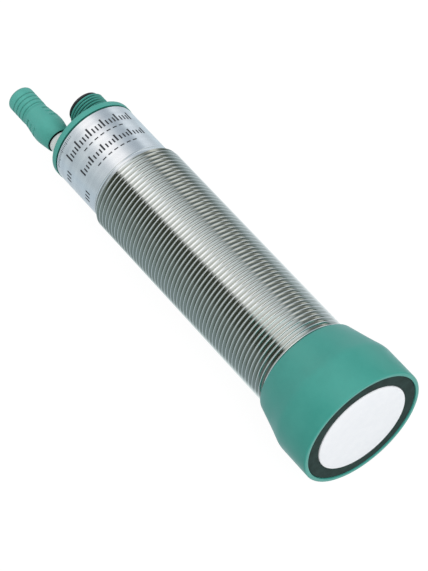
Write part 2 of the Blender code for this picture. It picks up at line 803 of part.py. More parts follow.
def cut_finger_notches(grip):
    """Short grooves across both sides of the flare, in step with the tube's grooves."""
    for index in range(NOTCH_COUNT):
        x = PLUG_TIP + NOTCH_FROM_TIP + NOTCH_PITCH * index
        for name, side in (("notch_left", -1), ("notch_right", 1)):
            y = SOCKET_OFFSET + side * (plug_radius_at(x) + NOTCH_RADIUS - NOTCH_DEPTH)
            bpy.ops.mesh.primitive_cylinder_add(
                vertices=SMALL_STEPS,
                radius=NOTCH_RADIUS * MM,
                depth=PLUG_FLARE_DIAMETER * MM,
                location=(x * MM, y * MM, 0),
            )
            cutter = bpy.context.object
            cutter.name = f"{name}_{index + 1}"
            for holder in list(cutter.users_collection):
                holder.objects.unlink(cutter)
            CUTTERS.objects.link(cutter)
            combine(grip, as_cutter(cutter))


def make_grip():
    """The plug's moulded grip, hollow from the front: a skirt over the collar's neck, then a bore."""
    cavity_end = PLUG_TIP + PLUG_END_WALL
    skirt = COLLAR_NECK_DIAMETER / 2 + SEAT_GAP
    corners = [
        (cavity_end, 0, 0),
        (cavity_end, PLUG_BORE / 2, 0),
        (PLUG_FLOOR, PLUG_BORE / 2, 0),
        (PLUG_FLOOR, skirt, 0),
        (PLUG_FRONT, skirt, 0),
        *plug_outline(),
    ]
    grip = turned("plug_grip", corners, GREEN, MEDIUM_STEPS, SOCKET_OFFSET)
    cut_finger_notches(grip)
    finish_cuts(grip)
    return grip


def make_plug_contacts():
    """The plug's contact carrier, its four pins and the temperature probe behind them."""
    front = PLUG_FLOOR - SEAT_GAP
    rear = front - CARRIER_THICKNESS
    radius = PLUG_BORE / 2 - SEAT_GAP
    corners = [(front, 0, 0), (front, radius, 0), (rear, radius, 0), (rear, 0, 0)]
    carrier = turned("plug_carrier", corners, BLACK, INNER_STEPS, SOCKET_OFFSET)
    cut_plug_pin_holes(carrier, front, rear, "carrier_hole")
    pins = []
    pin_front = COLLAR_END + SOCKET_RECESS + PLUG_PIN_REACH
    pin_rear = rear - PLUG_PIN_TAIL
    for number, (y, z) in enumerate(on_circle(PLUG_PIN_CIRCLE, 4), 1):
        name = f"plug_pin_{number}"
        pins.append(
            make_pin(name, PLUG_PIN_DIAMETER, pin_front, pin_rear, GOLD, SOCKET_OFFSET + y, z)
        )
    probe_front = pin_rear - SEAT_GAP
    probe_rear = PLUG_TIP + PLUG_END_WALL + SEAT_GAP
    corners = [
        (probe_front, 0, 0),
        (probe_front, radius, BROAD_CHAMFER),
        (probe_rear, radius, BROAD_CHAMFER),
        (probe_rear, 0, 0),
    ]
    probe = turned("temperature_probe", corners, RESIN, INNER_STEPS, SOCKET_OFFSET)
    return [carrier, *pins, probe]


def make_plug():
    """All pieces of the plug, under one empty on the line along which it pulls off."""
    pieces = [make_grip(), *make_plug_contacts()]
    carrier = bpy.data.objects.new("plug_slide", None)
    carrier.location = (PLUG_FRONT * MM, SOCKET_OFFSET * MM, 0)
    PARTS.objects.link(carrier)
    bpy.context.view_layer.update()
    for piece in pieces:
        piece.parent = carrier
        piece.matrix_parent_inverse = carrier.matrix_world.inverted()


def half_width_at(radius, low, high):
    """Half the width that a flat board between two heights has in a round bore."""
    farthest = max(abs(low), abs(high))
    return sqrt(radius**2 - farthest**2) - SEAT_GAP


def make_board():
    """The circuit board: it fills the bore's width, and a narrower tongue reaches into the cap."""
    low = BOARD_TOP - BOARD_THICKNESS
    wide = half_width_at(BORE_RADIUS, low, BOARD_TOP)
    narrow = half_width_at(SPIGOT_RADIUS - CAP_SPIGOT_WALL, low, BOARD_TOP)
    board = box("circuit_board", (BOARD_REAR, -wide, low), (BOARD_FRONT, wide, BOARD_TOP), BOARD)
    tongue = box(
        "board_tongue",
        (BOARD_REAR - TONGUE_LENGTH, -narrow, low),
        (BOARD_REAR + 2, narrow, BOARD_TOP),
        None,
        collection=CUTTERS,
    )
    combine(board, as_cutter(tongue), "UNION")
    return board


def make_transformer():
    """The pulse transformer: a drum core standing on the board, with its winding."""
    base = BOARD_TOP + SEAT_GAP
    top = base + CORE_HEIGHT
    outer = CORE_DIAMETER / 2
    post = CORE_POST_DIAMETER / 2
    x = BOARD_FRONT - CORE_FROM_BOARD_FRONT
    corners = [
        (top, 0, 0),
        (top, outer, EDGE_CHAMFER),
        (top - CORE_FLANGE, outer, 0),
        (top - CORE_FLANGE, post, 0),
        (base + CORE_FLANGE, post, 0),
        (base + CORE_FLANGE, outer, 0),
        (base, outer, EDGE_CHAMFER),
        (base, 0, 0),
    ]
    upright("transformer_core", corners, FERRITE, x, 0)
    high = top - CORE_FLANGE - SEAT_GAP
    low = base + CORE_FLANGE + SEAT_GAP
    inner = post + SEAT_GAP
    wound = outer - WINDING_INSET
    winding = [(high, inner, 0), (high, wound, 0), (low, wound, 0), (low, inner, 0)]
    upright("transformer_winding", winding, COPPER, x, 0)


def make_board_parts():
    """The chip and the storage capacitor, each standing on the board."""
    base = BOARD_TOP + SEAT_GAP
    x = BOARD_FRONT - CHIP_FROM_BOARD_FRONT
    half = CHIP_SIDE / 2
    low = (x - half, -half, base)
    high = (x + half, half, base + CHIP_THICKNESS)
    box("microcontroller", low, high, BLACK, CHIP_EDGE_ROUNDING)
    top = base + CAN_HEIGHT
    can = CAN_DIAMETER / 2
    bead = base + CAN_BEAD_HEIGHT
    corners = [
        (top, 0, 0),
        (top, can, EDGE_CHAMFER),
        (bead + CAN_BEAD_WIDTH / 2, can, 0),
        (bead, can - CAN_BEAD_DEPTH, 0),
        (bead - CAN_BEAD_WIDTH / 2, can, 0),
        (base, can, 0),
        (base, 0, 0),
    ]
    upright("storage_capacitor", corners, ALUMINIUM, BOARD_FRONT - CAN_FROM_BOARD_FRONT, 0)


def make_lamps():
    """Two lamps on the board's tongue that shine into the clear collar."""
    radius = LAMP_DIAMETER / 2
    flange = radius + LAMP_FLANGE
    front = BOARD_REAR - LAMP_FROM_BOARD_REAR
    rear = front - LAMP_LENGTH
    height = BOARD_TOP + SEAT_GAP + flange
    corners = [
        (front, 0, 0),
        (front, flange, 0),
        (front - LAMP_FLANGE_LENGTH, flange, 0),
        (front - LAMP_FLANGE_LENGTH, radius, 0),
        (rear, radius, 0.9 * radius),
        (rear, 0, 0),
    ]
    outer_y = SOCKET_OFFSET + LAMP_FROM_SOCKET
    for name, y, material in (
        ("led_green", outer_y, LAMP_GREEN),
        ("led_yellow", outer_y + LAMP_SPACING, LAMP_YELLOW),
    ):
        lamp = turned(name, corners, material, SMALL_STEPS, y)
        lamp.location.z = height * MM


make_head()
make_ring()
make_face()
make_piezo()
make_damping()
make_lead("transducer_lead_a", LEAD_SPACING / 2)
make_lead("transducer_lead_b", -LEAD_SPACING / 2)
make_seal("head_seal_ring", HEAD_REAR, -1)
make_barrel()
make_board()
make_transformer()
make_board_parts()
make_lamps()
make_cap()
make_seal("rear_seal_ring", CAP_SHOULDER, 1)
make_insert()
make_connector_pins()
make_collar()
make_socket_insert()
make_plug()
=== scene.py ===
"""Looks of a cylindrical ultrasonic sensor: fine surfaces, finishes, light and camera on its fixed frame.

The sensor's axis is X, its white face looks along +X, and the connector and the plug are at the -X end.
Lengths are in metres, written as millimetres times MM.
"""

from math import cos, hypot, pi, radians, sin

import bmesh
import bpy
from mathutils import Matrix, Vector


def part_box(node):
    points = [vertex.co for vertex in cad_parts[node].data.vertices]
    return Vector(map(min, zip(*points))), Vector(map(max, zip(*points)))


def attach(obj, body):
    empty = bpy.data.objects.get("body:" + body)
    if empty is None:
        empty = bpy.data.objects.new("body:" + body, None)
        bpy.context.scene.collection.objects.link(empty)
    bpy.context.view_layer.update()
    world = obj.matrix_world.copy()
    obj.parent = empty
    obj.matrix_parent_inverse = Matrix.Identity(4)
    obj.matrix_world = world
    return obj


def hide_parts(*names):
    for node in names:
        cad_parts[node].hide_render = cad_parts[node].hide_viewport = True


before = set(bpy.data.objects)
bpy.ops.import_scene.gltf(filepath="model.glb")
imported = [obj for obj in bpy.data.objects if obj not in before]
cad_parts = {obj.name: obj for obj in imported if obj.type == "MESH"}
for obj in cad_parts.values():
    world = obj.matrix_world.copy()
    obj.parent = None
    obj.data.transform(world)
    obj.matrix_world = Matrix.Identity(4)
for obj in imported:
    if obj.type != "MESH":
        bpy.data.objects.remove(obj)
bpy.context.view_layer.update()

MM = 0.001
SENSOR = "sensor"
PLUG = "program_plug"

# Places and radii read from the frame
HEAD_LOW, HEAD_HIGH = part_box("head_housing")
RING_LOW, RING_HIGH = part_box("decoupling_ring")
FACE_LOW, FACE_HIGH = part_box("transducer_face")
BARREL_LOW, BARREL_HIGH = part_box("barrel")
CAP_LOW, CAP_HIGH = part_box("rear_cap")
INSERT_LOW, INSERT_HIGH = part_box("connector_insert")
COLLAR_LOW, COLLAR_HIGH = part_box("socket_collar")
PLUG_LOW, PLUG_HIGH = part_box("plug_grip")
CONNECTOR_Y = (INSERT_LOW.y + INSERT_HIGH.y) / 2
SOCKET_Y = (COLLAR_LOW.y + COLLAR_HIGH.y) / 2

# Fineness of turned surfaces
FINE_STEPS = 144
SMALL_STEPS = 96
PIN_STEPS = 24
HOLE_STEPS = 32
CRISP_ANGLE = radians(32)

# Small distances
NEAR = 0.01 * MM
MERGE_DISTANCE = 0.002 * MM
SLEEVE_MERGE_DISTANCE = 0.004 * MM
SEAT_GAP = 0.3 * MM
END_CLEARANCE = 0.05 * MM


def deselect():
    """Leaves nothing selected."""
    if bpy.context.object and bpy.context.object.mode != "OBJECT":
        bpy.ops.object.mode_set(mode="OBJECT")
    bpy.ops.object.select_all(action="DESELECT")


def distance(vertex, y=0.0):
    """A point's distance from an axis along X through y."""
    return hypot(vertex.co.y - y, vertex.co.z)


def select_edges(obj, wanted):
    """Selects, in edit mode, the edges whose two points are both wanted."""
    mesh = bmesh.from_edit_mesh(obj.data)
    bpy.ops.mesh.select_mode(type="EDGE")
    bpy.ops.mesh.select_all(action="DESELECT")
    for edge in mesh.edges:
        if all(wanted(vertex) for vertex in edge.verts):
            edge.select = True
    mesh.select_flush_mode()
    bmesh.update_edit_mesh(obj.data)


def outline_by_extrusion(name, points, y=0.0):
    """An open outline in the XZ plane, extruded point by point from a plane merged to one point."""
    deselect()
    bpy.ops.mesh.primitive_plane_add(size=MM, location=(0, 0, 0))
    obj = bpy.context.object
    obj.name = name
    obj.data.name = name
    bpy.ops.object.mode_set(mode="EDIT")
    bpy.ops.mesh.select_mode(type="VERT")
    bpy.ops.mesh.merge(type="CENTER")
    bpy.ops.transform.translate(value=(points[0][0], y, points[0][1]))
    for (x, r), (next_x, next_r) in zip(points, points[1:]):
        step = (next_x - x, 0, next_r - r)
        bpy.ops.mesh.extrude_region_move(TRANSFORM_OT_translate={"value": step})
    return obj


def clean_shell(obj):
    """Merges doubles and turns the faces outwards, in edit mode, and leaves edit mode."""
    bpy.ops.mesh.select_all(action="SELECT")
    bpy.ops.mesh.remove_doubles(threshold=MERGE_DISTANCE)
    bpy.ops.mesh.normals_make_consistent(inside=False)
    bpy.ops.object.mode_set(mode="OBJECT")
    return obj


def smooth(obj):
    """Shades a piece smooth, with edges sharper than CRISP_ANGLE left crisp."""
    deselect()
    obj.select_set(True)
    bpy.context.view_layer.objects.active = obj
    bpy.ops.object.shade_smooth_by_angle(angle=CRISP_ANGLE)
    return obj


def turn(name, points, y=0.0, steps=FINE_STEPS):
    """A turned piece: its outline, (x, radius) in order, spun round an axis along X through y."""
    obj = outline_by_extrusion(name, points, y)
    bpy.ops.mesh.select_all(action="SELECT")
    bpy.ops.mesh.spin(steps=steps, angle=2 * pi, center=(0, y, 0), axis=(1, 0, 0))
    return clean_shell(obj)


def round_rims(obj, rims, y=0.0):
    """Bevels the round edges at each (x, radius, width, segments)."""
    deselect()
    bpy.context.view_layer.objects.active = obj
    obj.select_set(True)
    bpy.ops.object.mode_set(mode="EDIT")
    for x, radius, width, segments in rims:
        select_edges(obj, lambda v: abs(v.co.x - x) < NEAR and abs(distance(v, y) - radius) < NEAR)
        bpy.ops.mesh.bevel(offset=width, segments=segments, affect="EDGES", clamp_overlap=True)
    return clean_shell(obj)


def cut(obj, cutter, operation="DIFFERENCE"):
    """Applies a Boolean with another piece, which is then deleted."""
    deselect()
    bpy.context.view_layer.objects.active = obj
    obj.select_set(True)
    boolean = obj.modifiers.new("cut", "BOOLEAN")
    boolean.operation = operation
    boolean.solver = "EXACT"
    boolean.object = cutter
    bpy.ops.object.modifier_apply(modifier=boolean.name)
    bpy.data.objects.remove(cutter, do_unlink=True)
    return obj


def rod(radius, front, rear, y, z=0.0, steps=SMALL_STEPS):
    """A cutting rod along X."""
    deselect()
    bpy.ops.mesh.primitive_cylinder_add(
        vertices=steps,
        radius=radius,
        depth=front - rear,
        location=((front + rear) / 2, y, z),
        rotation=(0, pi / 2, 0),
    )
    return bpy.context.object


def settle(obj):
    """Applies a piece's place, turn and scale to its mesh."""
    deselect()
    obj.select_set(True)
    bpy.context.view_layer.objects.active = obj
    bpy.ops.object.transform_apply(location=True, rotation=True, scale=True)
    return obj


def again(obj, name, shift=(0, 0, 0), roll=0.0):
    """A copy of a piece with its own mesh, shifted and rolled about the barrel's axis."""
    twin = obj.copy()
    twin.data = obj.data.copy()
    twin.name = name
    twin.data.name = name
    bpy.context.scene.collection.objects.link(twin)
    twin.location = shift
    twin.rotation_euler = (roll, 0, 0)
    return settle(twin)


def join(name, parts):
    """Joins pieces into one under a name."""
    deselect()
    for part in parts:
        part.select_set(True)
    bpy.context.view_layer.objects.active = parts[0]
    bpy.ops.object.join()
    parts[0].name = name
    parts[0].data.name = name
    return parts[0]


def dress(obj, body, slot, material, *nodes):
    """Gives a piece its body and material, and the nodes that it stands for; the slot is not used."""
    obj.data.materials.clear()
    obj.data.materials.append(material)
    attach(obj, body)
    if nodes:
        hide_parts(*nodes)
    return obj


# Threads
SPARE_TURNS = 4

# Pitches from a thread's rear end back to where its outline starts, which sets the angle of its crests
THREAD_START = 1.77


def thread_profile(radius, depth, pitch, crest, root):
    """One turn's outline, (place along the axis, radius): flat crest, flank, flat root, flank."""
    flank = (pitch - crest - root) / 2
    low = radius - depth
    foot = crest + flank
    return [(0, radius), (crest, radius), (foot, low), (foot + root, low), (pitch, radius)]


def thread_sleeve(name, y, radius, depth, pitch, crest, root, front, rear, limit, steps):
    """An open right-hand helical tube along X, held inside limit(x) and drawn in to both its ends."""
    outline = thread_profile(radius, depth, pitch, crest, root)
    obj = outline_by_extrusion(name, [(r, along) for along, r in outline])
    bpy.ops.object.mode_set(mode="OBJECT")
    screw = obj.modifiers.new("turns", "SCREW")
    screw.axis = "Z"
    screw.angle = 2 * pi
    screw.screw_offset = pitch
    screw.iterations = int((front - rear) / pitch) + SPARE_TURNS
    screw.steps = steps
    screw.render_steps = steps
    bpy.ops.object.modifier_apply(modifier=screw.name)
    obj.rotation_euler = (0, pi / 2, 0)
    obj.location = (rear - THREAD_START * pitch, y, 0)
    settle(obj)
    for vertex in obj.data.vertices:
        x = min(max(vertex.co.x, rear), front)
        before = distance(vertex, y)
        share = min(before, limit(x)) / before
        vertex.co = (x, y + (vertex.co.y - y) * share, vertex.co.z * share)
    bpy.ops.object.mode_set(mode="EDIT")
    bpy.ops.mesh.select_all(action="SELECT")
    bpy.ops.mesh.remove_doubles(threshold=SLEEVE_MERGE_DISTANCE)
    return obj


def select_open_rim(obj, x):
    """Selects, in edit mode, the open edges at one place along the axis."""
    mesh = bmesh.from_edit_mesh(obj.data)
    bpy.ops.mesh.select_mode(type="EDGE")
    bpy.ops.mesh.select_all(action="DESELECT")
    for edge in mesh.edges:
        if edge.is_boundary and all(abs(vertex.co.x - x) < NEAR for vertex in edge.verts):
            edge.select = True
    mesh.select_flush_mode()
    bmesh.update_edit_mesh(obj.data)


def grow_rim(obj, x, radius, stops, y=0.0):
    """Extrudes the open rim at x along the stops, each (x, radius), about the axis through y."""
    select_open_rim(obj, x)
    for next_x, next_radius in stops:
        bpy.ops.mesh.extrude_edges_move(TRANSFORM_OT_translate={"value": (next_x - x, 0, 0)})
        share = next_radius / radius
        bpy.ops.transform.resize(value=(1, share, share), center_override=(next_x, y, 0))
        x, radius = next_x, next_radius


# Barrel
THREAD_PITCH = 1.5 * MM
THREAD_DEPTH = 0.85 * MM
THREAD_CREST = 0.15 * MM
THREAD_ROOT = 0.16 * MM
THREAD_RADIUS = BARREL_HIGH.z
THREAD_LENGTH = 78.7 * MM
RUNOUT_LENGTH = 2.3 * MM
SMOOTH_RADIUS = THREAD_RADIUS - 1.2 * MM
BORE_RADIUS = SMOOTH_RADIUS - 1.35 * MM
BARREL_FRONT = BARREL_HIGH.x + 1.4 * MM
BARREL_REAR = BARREL_LOW.x
THREAD_END = BARREL_FRONT - THREAD_LENGTH
RUNOUT_END = THREAD_END - RUNOUT_LENGTH
SLEEVE_END = RUNOUT_END - 0.5 * MM
FRONT_CHAMFER_SLOPE = 5
REAR_CHAMFER = 0.12 * MM


def barrel_limit(x):
    """Largest radius of the barrel at x: front chamfer, thread, run-out cone, smooth section."""
    chamfer = THREAD_RADIUS - THREAD_DEPTH - END_CLEARANCE + (BARREL_FRONT - x) * FRONT_CHAMFER_SLOPE
    cone = THREAD_RADIUS - (THREAD_END - x) * (THREAD_RADIUS - SMOOTH_RADIUS) / RUNOUT_LENGTH
    return max(SMOOTH_RADIUS, min(THREAD_RADIUS, chamfer, cone))


def make_barrel():
    """The sleeve: helical thread, run-out and smooth rear section, closed by its bore."""
    obj = thread_sleeve(
        "threaded_barrel", 0, THREAD_RADIUS, THREAD_DEPTH, THREAD_PITCH, THREAD_CREST, THREAD_ROOT,
        BARREL_FRONT, SLEEVE_END, barrel_limit, FINE_STEPS,
    )
    grow_rim(obj, SLEEVE_END, SMOOTH_RADIUS, [
        (BARREL_REAR + REAR_CHAMFER, SMOOTH_RADIUS),
        (BARREL_REAR, SMOOTH_RADIUS - REAR_CHAMFER),
        (BARREL_REAR, BORE_RADIUS),
        (BARREL_FRONT, BORE_RADIUS),
    ])
    select_open_rim(obj, BARREL_FRONT)
    bpy.ops.mesh.bridge_edge_loops()
    return smooth(clean_shell(obj))


# Head, ring and face
HEAD_RADIUS = HEAD_HIGH.z
HEAD_CYLINDER_END = -12.0 * MM
HEAD_BEND = -16.0 * MM
HEAD_BEND_RADIUS = 18.2 * MM
HEAD_SHOULDER = BARREL_FRONT + 0.06 * MM
HEAD_NECK_RADIUS = 16.15 * MM
HEAD_BEND_ROUNDING = 1.6 * MM
HEAD_CORNER_ROUNDING = 1.0 * MM
HEAD_RIM_ROUNDING = 0.45 * MM
HEAD_REAR_ROUNDING = 0.3 * MM
SPIGOT_RADIUS = BORE_RADIUS - SEAT_GAP
SPIGOT_BORE_RADIUS = 9.9 * MM
SEAL_GROOVE_RADIUS = 10.8 * MM
SEAL_GROOVE_FRONT = -28.0 * MM
SEAL_GROOVE_REAR = -29.6 * MM
POCKET_RADIUS = HEAD_RADIUS - 1.2 * MM
POCKET_FLOOR = -10.55 * MM
POCKET_ROUNDING = 0.12 * MM
CHAMBER_RADIUS = 15.1 * MM
CHAMBER_FLOOR = -17.9 * MM
RING_OUTER = POCKET_RADIUS - 0.03 * MM
RING_ROUNDING = 0.3 * MM
FACE_RADIUS = FACE_HIGH.z
FACE_ROUNDING = 0.22 * MM
RING_INNER = FACE_RADIUS + 0.03 * MM


def make_head():
    """The moulded head: rim, cylinder, two cones and rear corner, stepped pocket, spigot with groove."""
    obj = turn("moulded_head", [
        (0, POCKET_RADIUS),
        (0, HEAD_RADIUS),
        (HEAD_CYLINDER_END, HEAD_RADIUS),
        (HEAD_BEND, HEAD_BEND_RADIUS),
        (HEAD_SHOULDER, HEAD_NECK_RADIUS),
        (HEAD_SHOULDER, SPIGOT_RADIUS),
        (SEAL_GROOVE_FRONT, SPIGOT_RADIUS),
        (SEAL_GROOVE_FRONT, SEAL_GROOVE_RADIUS),
        (SEAL_GROOVE_REAR, SEAL_GROOVE_RADIUS),
        (SEAL_GROOVE_REAR, SPIGOT_RADIUS),
        (HEAD_LOW.x, SPIGOT_RADIUS),
        (HEAD_LOW.x, SPIGOT_BORE_RADIUS),
        (CHAMBER_FLOOR, SPIGOT_BORE_RADIUS),
        (CHAMBER_FLOOR, CHAMBER_RADIUS),
        (POCKET_FLOOR, CHAMBER_RADIUS),
        (POCKET_FLOOR, POCKET_RADIUS),
        (0, POCKET_RADIUS),
    ])
    round_rims(obj, [
        (0, POCKET_RADIUS, POCKET_ROUNDING, 2),
        (0, HEAD_RADIUS, HEAD_RIM_ROUNDING, 4),
        (HEAD_CYLINDER_END, HEAD_RADIUS, HEAD_CORNER_ROUNDING, 5),
        (HEAD_BEND, HEAD_BEND_RADIUS, HEAD_BEND_ROUNDING, 5),
        (HEAD_SHOULDER, HEAD_NECK_RADIUS, HEAD_REAR_ROUNDING, 4),
        (HEAD_LOW.x, SPIGOT_RADIUS, HEAD_REAR_ROUNDING, 2),
    ])
    return smooth(obj)


def make_ring():
    """The soft ring in the head's pocket, its front slightly rounded at both edges."""
    obj = turn("soft_ring", [
        (RING_HIGH.x, RING_INNER),
        (RING_HIGH.x, RING_OUTER),
        (RING_LOW.x, RING_OUTER),
        (RING_LOW.x, RING_INNER),
        (RING_HIGH.x, RING_INNER),
    ])
    round_rims(obj, [
        (RING_HIGH.x, RING_INNER, RING_ROUNDING, 3),
        (RING_HIGH.x, RING_OUTER, RING_ROUNDING, 3),
    ])
    return smooth(obj)


def make_face():
    """The sensing face: a disc with a fine rounded edge."""
    obj = turn("sensing_face", [
        (FACE_HIGH.x, 0),
        (FACE_HIGH.x, 0.5 * FACE_RADIUS),
        (FACE_HIGH.x, FACE_RADIUS),
        (FACE_LOW.x, FACE_RADIUS),
        (FACE_LOW.x, 0),
    ])
    round_rims(obj, [(FACE_HIGH.x, FACE_RADIUS, FACE_ROUNDING, 4)])
    return smooth(obj)


# End cap with its connector collar
CAP_RADIUS = CAP_HIGH.z
CAP_RIM = BARREL_REAR - SEAT_GAP
CAP_LIP = CAP_RIM - 0.2 * MM
CAP_LIP_WALL = 0.16 * MM
CAP_LIP_ROOT = CAP_LIP - 0.9 * MM
CAP_LIP_ROUNDING = 0.06 * MM
CAP_BACK = -126.6 * MM
CAP_BACK_ROUNDING = 0.4 * MM
CAP_FRONT = CAP_HIGH.x
CAP_FLOOR = CAP_RIM + 2.2 * MM
CAP_BORE_RADIUS = 10.2 * MM
CAP_GROOVE_FRONT = -119.9 * MM
CAP_GROOVE_REAR = -121.5 * MM
CAP_HOLLOW = -121.6 * MM
COLLAR_START = CAP_BACK + 1.5 * MM
COLLAR_RADIUS = 5.95 * MM
COLLAR_DEPTH = 0.6 * MM
COLLAR_PITCH = 1.0 * MM
COLLAR_CREST = 0.16 * MM
COLLAR_ROOT = 0.14 * MM
COLLAR_END = CAP_LOW.x
COLLAR_BORE = 4.6 * MM
RELIEF_RADIUS = 5.25 * MM
RELIEF_LENGTH = 0.8 * MM
RELIEF_SLOPE = 1.8
SOCKET_HOLE = 3.6 * MM


def collar_limit(x):
    """Largest radius of the connector collar at x: relief by the cap, thread, end chamfer."""
    relief = RELIEF_RADIUS + max(0, CAP_BACK - RELIEF_LENGTH - x) * RELIEF_SLOPE
    chamfer = COLLAR_RADIUS - COLLAR_DEPTH - END_CLEARANCE + (x - COLLAR_END)
    return min(COLLAR_RADIUS, relief, chamfer)


def make_cap():
    """The moulded end cap: spigot with groove, lip, M12 x 1 collar, its bore and the plug's hole."""
    plate = turn("end_cap", [
        (CAP_FLOOR, 0),
        (CAP_FLOOR, CAP_BORE_RADIUS),
        (CAP_FRONT, CAP_BORE_RADIUS),
        (CAP_FRONT, SPIGOT_RADIUS),
        (CAP_GROOVE_FRONT, SPIGOT_RADIUS),
        (CAP_GROOVE_FRONT, SEAL_GROOVE_RADIUS),
        (CAP_GROOVE_REAR, SEAL_GROOVE_RADIUS),
        (CAP_GROOVE_REAR, SPIGOT_RADIUS),
        (CAP_LIP_ROOT, SPIGOT_RADIUS),
        (CAP_LIP_ROOT, CAP_RADIUS - CAP_LIP_WALL),
        (CAP_LIP, CAP_RADIUS - CAP_LIP_WALL),
        (CAP_LIP, CAP_RADIUS),
        (CAP_BACK, CAP_RADIUS),
        (CAP_BACK, 0),
    ])
    round_rims(plate, [
        (CAP_LIP, CAP_RADIUS, CAP_LIP_ROUNDING, 2),
        (CAP_BACK, CAP_RADIUS, CAP_BACK_ROUNDING, 5),
    ])
    collar = thread_sleeve(
        "collar", CONNECTOR_Y, COLLAR_RADIUS, COLLAR_DEPTH, COLLAR_PITCH, COLLAR_CREST, COLLAR_ROOT,
        COLLAR_START, COLLAR_END, collar_limit, SMALL_STEPS,
    )
    grow_rim(collar, COLLAR_START, RELIEF_RADIUS, [(COLLAR_START, 0)], CONNECTOR_Y)
    grow_rim(collar, COLLAR_END, COLLAR_RADIUS - COLLAR_DEPTH, [(COLLAR_END, 0)], CONNECTOR_Y)
    clean_shell(collar)
    cut(plate, collar, "UNION")
    cut(plate, rod(COLLAR_BORE, CAP_HOLLOW, COLLAR_END - MM, CONNECTOR_Y))
    cut(plate, rod(SOCKET_HOLE, CAP_HOLLOW, CAP_BACK - MM, SOCKET_Y))
    return smooth(plate)


# Pin carrier and pins
CARRIER_RADIUS = 4.3 * MM
CARRIER_RIM_RADIUS = INSERT_HIGH.z
CARRIER_RIM_FRONT = -136.2 * MM
CARRIER_RIM_ROUNDING = 0.22 * MM
DISH_RADIUS = 3.8 * MM
DISH_FLOOR = -128.4 * MM
DISH_ROUNDING = 0.15 * MM
CODING_KEY_PLACE = (-132.05 * MM, CONNECTOR_Y, 3.575 * MM)
CODING_KEY_SIZE = (8.3 * MM, 1.2 * MM, 0.95 * MM)
CODING_KEY_ROUNDING = 0.12 * MM
PIN_RADIUS = 0.5 * MM
PIN_HOLE_RADIUS = PIN_RADIUS + 0.04 * MM
PIN_HOLE_END = -129.4 * MM
PIN_FRONT = -119.0 * MM
PIN_TIP = -135.2 * MM
PIN_REACH = 1.768 * MM
PIN_SIDES = ((-1, 1), (-1, -1), (1, -1), (1, 1), (0, 0))
PIN_PLACES = [(PIN_REACH * across, PIN_REACH * up) for across, up in PIN_SIDES]


def make_carrier():
    """The black pin carrier: dish with a rim over the collar's end, coding key and pin holes."""
    obj = turn("pin_carrier", [
        (INSERT_HIGH.x, 0),
        (INSERT_HIGH.x, CARRIER_RADIUS),
        (CARRIER_RIM_FRONT, CARRIER_RADIUS),
        (CARRIER_RIM_FRONT, CARRIER_RIM_RADIUS),
        (INSERT_LOW.x, CARRIER_RIM_RADIUS),
        (INSERT_LOW.x, DISH_RADIUS),
        (DISH_FLOOR, DISH_RADIUS),
        (DISH_FLOOR, 0),
    ], CONNECTOR_Y, SMALL_STEPS)
    round_rims(obj, [
        (INSERT_LOW.x, CARRIER_RIM_RADIUS, CARRIER_RIM_ROUNDING, 4),
        (INSERT_LOW.x, DISH_RADIUS, DISH_ROUNDING, 3),
    ], CONNECTOR_Y)
    deselect()
    bpy.ops.mesh.primitive_cube_add(size=1, location=CODING_KEY_PLACE)
    key = bpy.context.object
    key.scale = CODING_KEY_SIZE
    settle(key)
    bevel = key.modifiers.new("edges", "BEVEL")
    bevel.width = CODING_KEY_ROUNDING
    bevel.segments = 2
    bpy.ops.object.modifier_apply(modifier=bevel.name)
    cut(obj, key, "UNION")
    for y, z in PIN_PLACES:
        cut(obj, rod(PIN_HOLE_RADIUS, INSERT_HIGH.x + MM, PIN_HOLE_END, CONNECTOR_Y + y, z, HOLE_STEPS))
    return smooth(obj)


def make_pin():
    """One contact pin on the axis: a turned rod with a domed tip."""
    obj = turn("pin", [
        (PIN_FRONT, 0),
        (PIN_FRONT, PIN_RADIUS),
        ((PIN_FRONT + PIN_TIP) / 2, PIN_RADIUS),
        (PIN_TIP, PIN_RADIUS),
        (PIN_TIP, 0),
    ], 0, PIN_STEPS)
    round_rims(obj, [
        (PIN_TIP, PIN_RADIUS, 0.85 * PIN_RADIUS, 5),
        (PIN_FRONT, PIN_RADIUS, 0.2 * PIN_RADIUS, 2),
    ])
    return smooth(obj)


# Clear collar and plug
PLUG_MOUTH = PLUG_HIGH.x
PLUG_TIP = PLUG_LOW.x
PLUG_FLOOR = PLUG_TIP + 1.5 * MM
PLUG_BORE_RADIUS = 2.9 * MM
PLUG_RECESS_END = -138.2 * MM
CLEAR_FRONT = CAP_BACK - SEAT_GAP
CLEAR_REAR = PLUG_MOUTH + SEAT_GAP
CLEAR_OUTER = COLLAR_HIGH.z - 0.05 * MM
CLEAR_SPIGOT = 3.3 * MM
CLEAR_NECK = 3.1 * MM
CLEAR_BORE = 2.75 * MM
CLEAR_FRONT_ROUNDING = 0.15 * MM
CLEAR_REAR_ROUNDING = 0.12 * MM
CLEAR_NECK_ROUNDING = 0.2 * MM
TUBE_RADIUS = 4.2 * MM
TIP_ROUNDING = 1.2 * MM
FLARE_RADIUS = PLUG_HIGH.z
FLARE_PLACE = PLUG_MOUTH - 5.6 * MM
FLARE_ROUNDING = 1.5 * MM
WAIST_RADIUS = 4.05 * MM
WAIST_PLACE = PLUG_MOUTH - 12.6 * MM
WAIST_ROUNDING = 0.35 * MM
MOUTH_RADIUS = 4.1 * MM
MOUTH_ROUNDING = 0.08 * MM
RECESS_RADIUS = MOUTH_RADIUS - 0.2 * MM
GROOVE_COUNT = 4
GROOVE_PITCH = 1.57
FIRST_GROOVE = 3.2
GROOVES = [PLUG_TIP + (FIRST_GROOVE + GROOVE_PITCH * number) * MM for number in range(GROOVE_COUNT)]
GROOVE_HALF = 0.35 * MM
GROOVE_DEPTH = 0.28 * MM
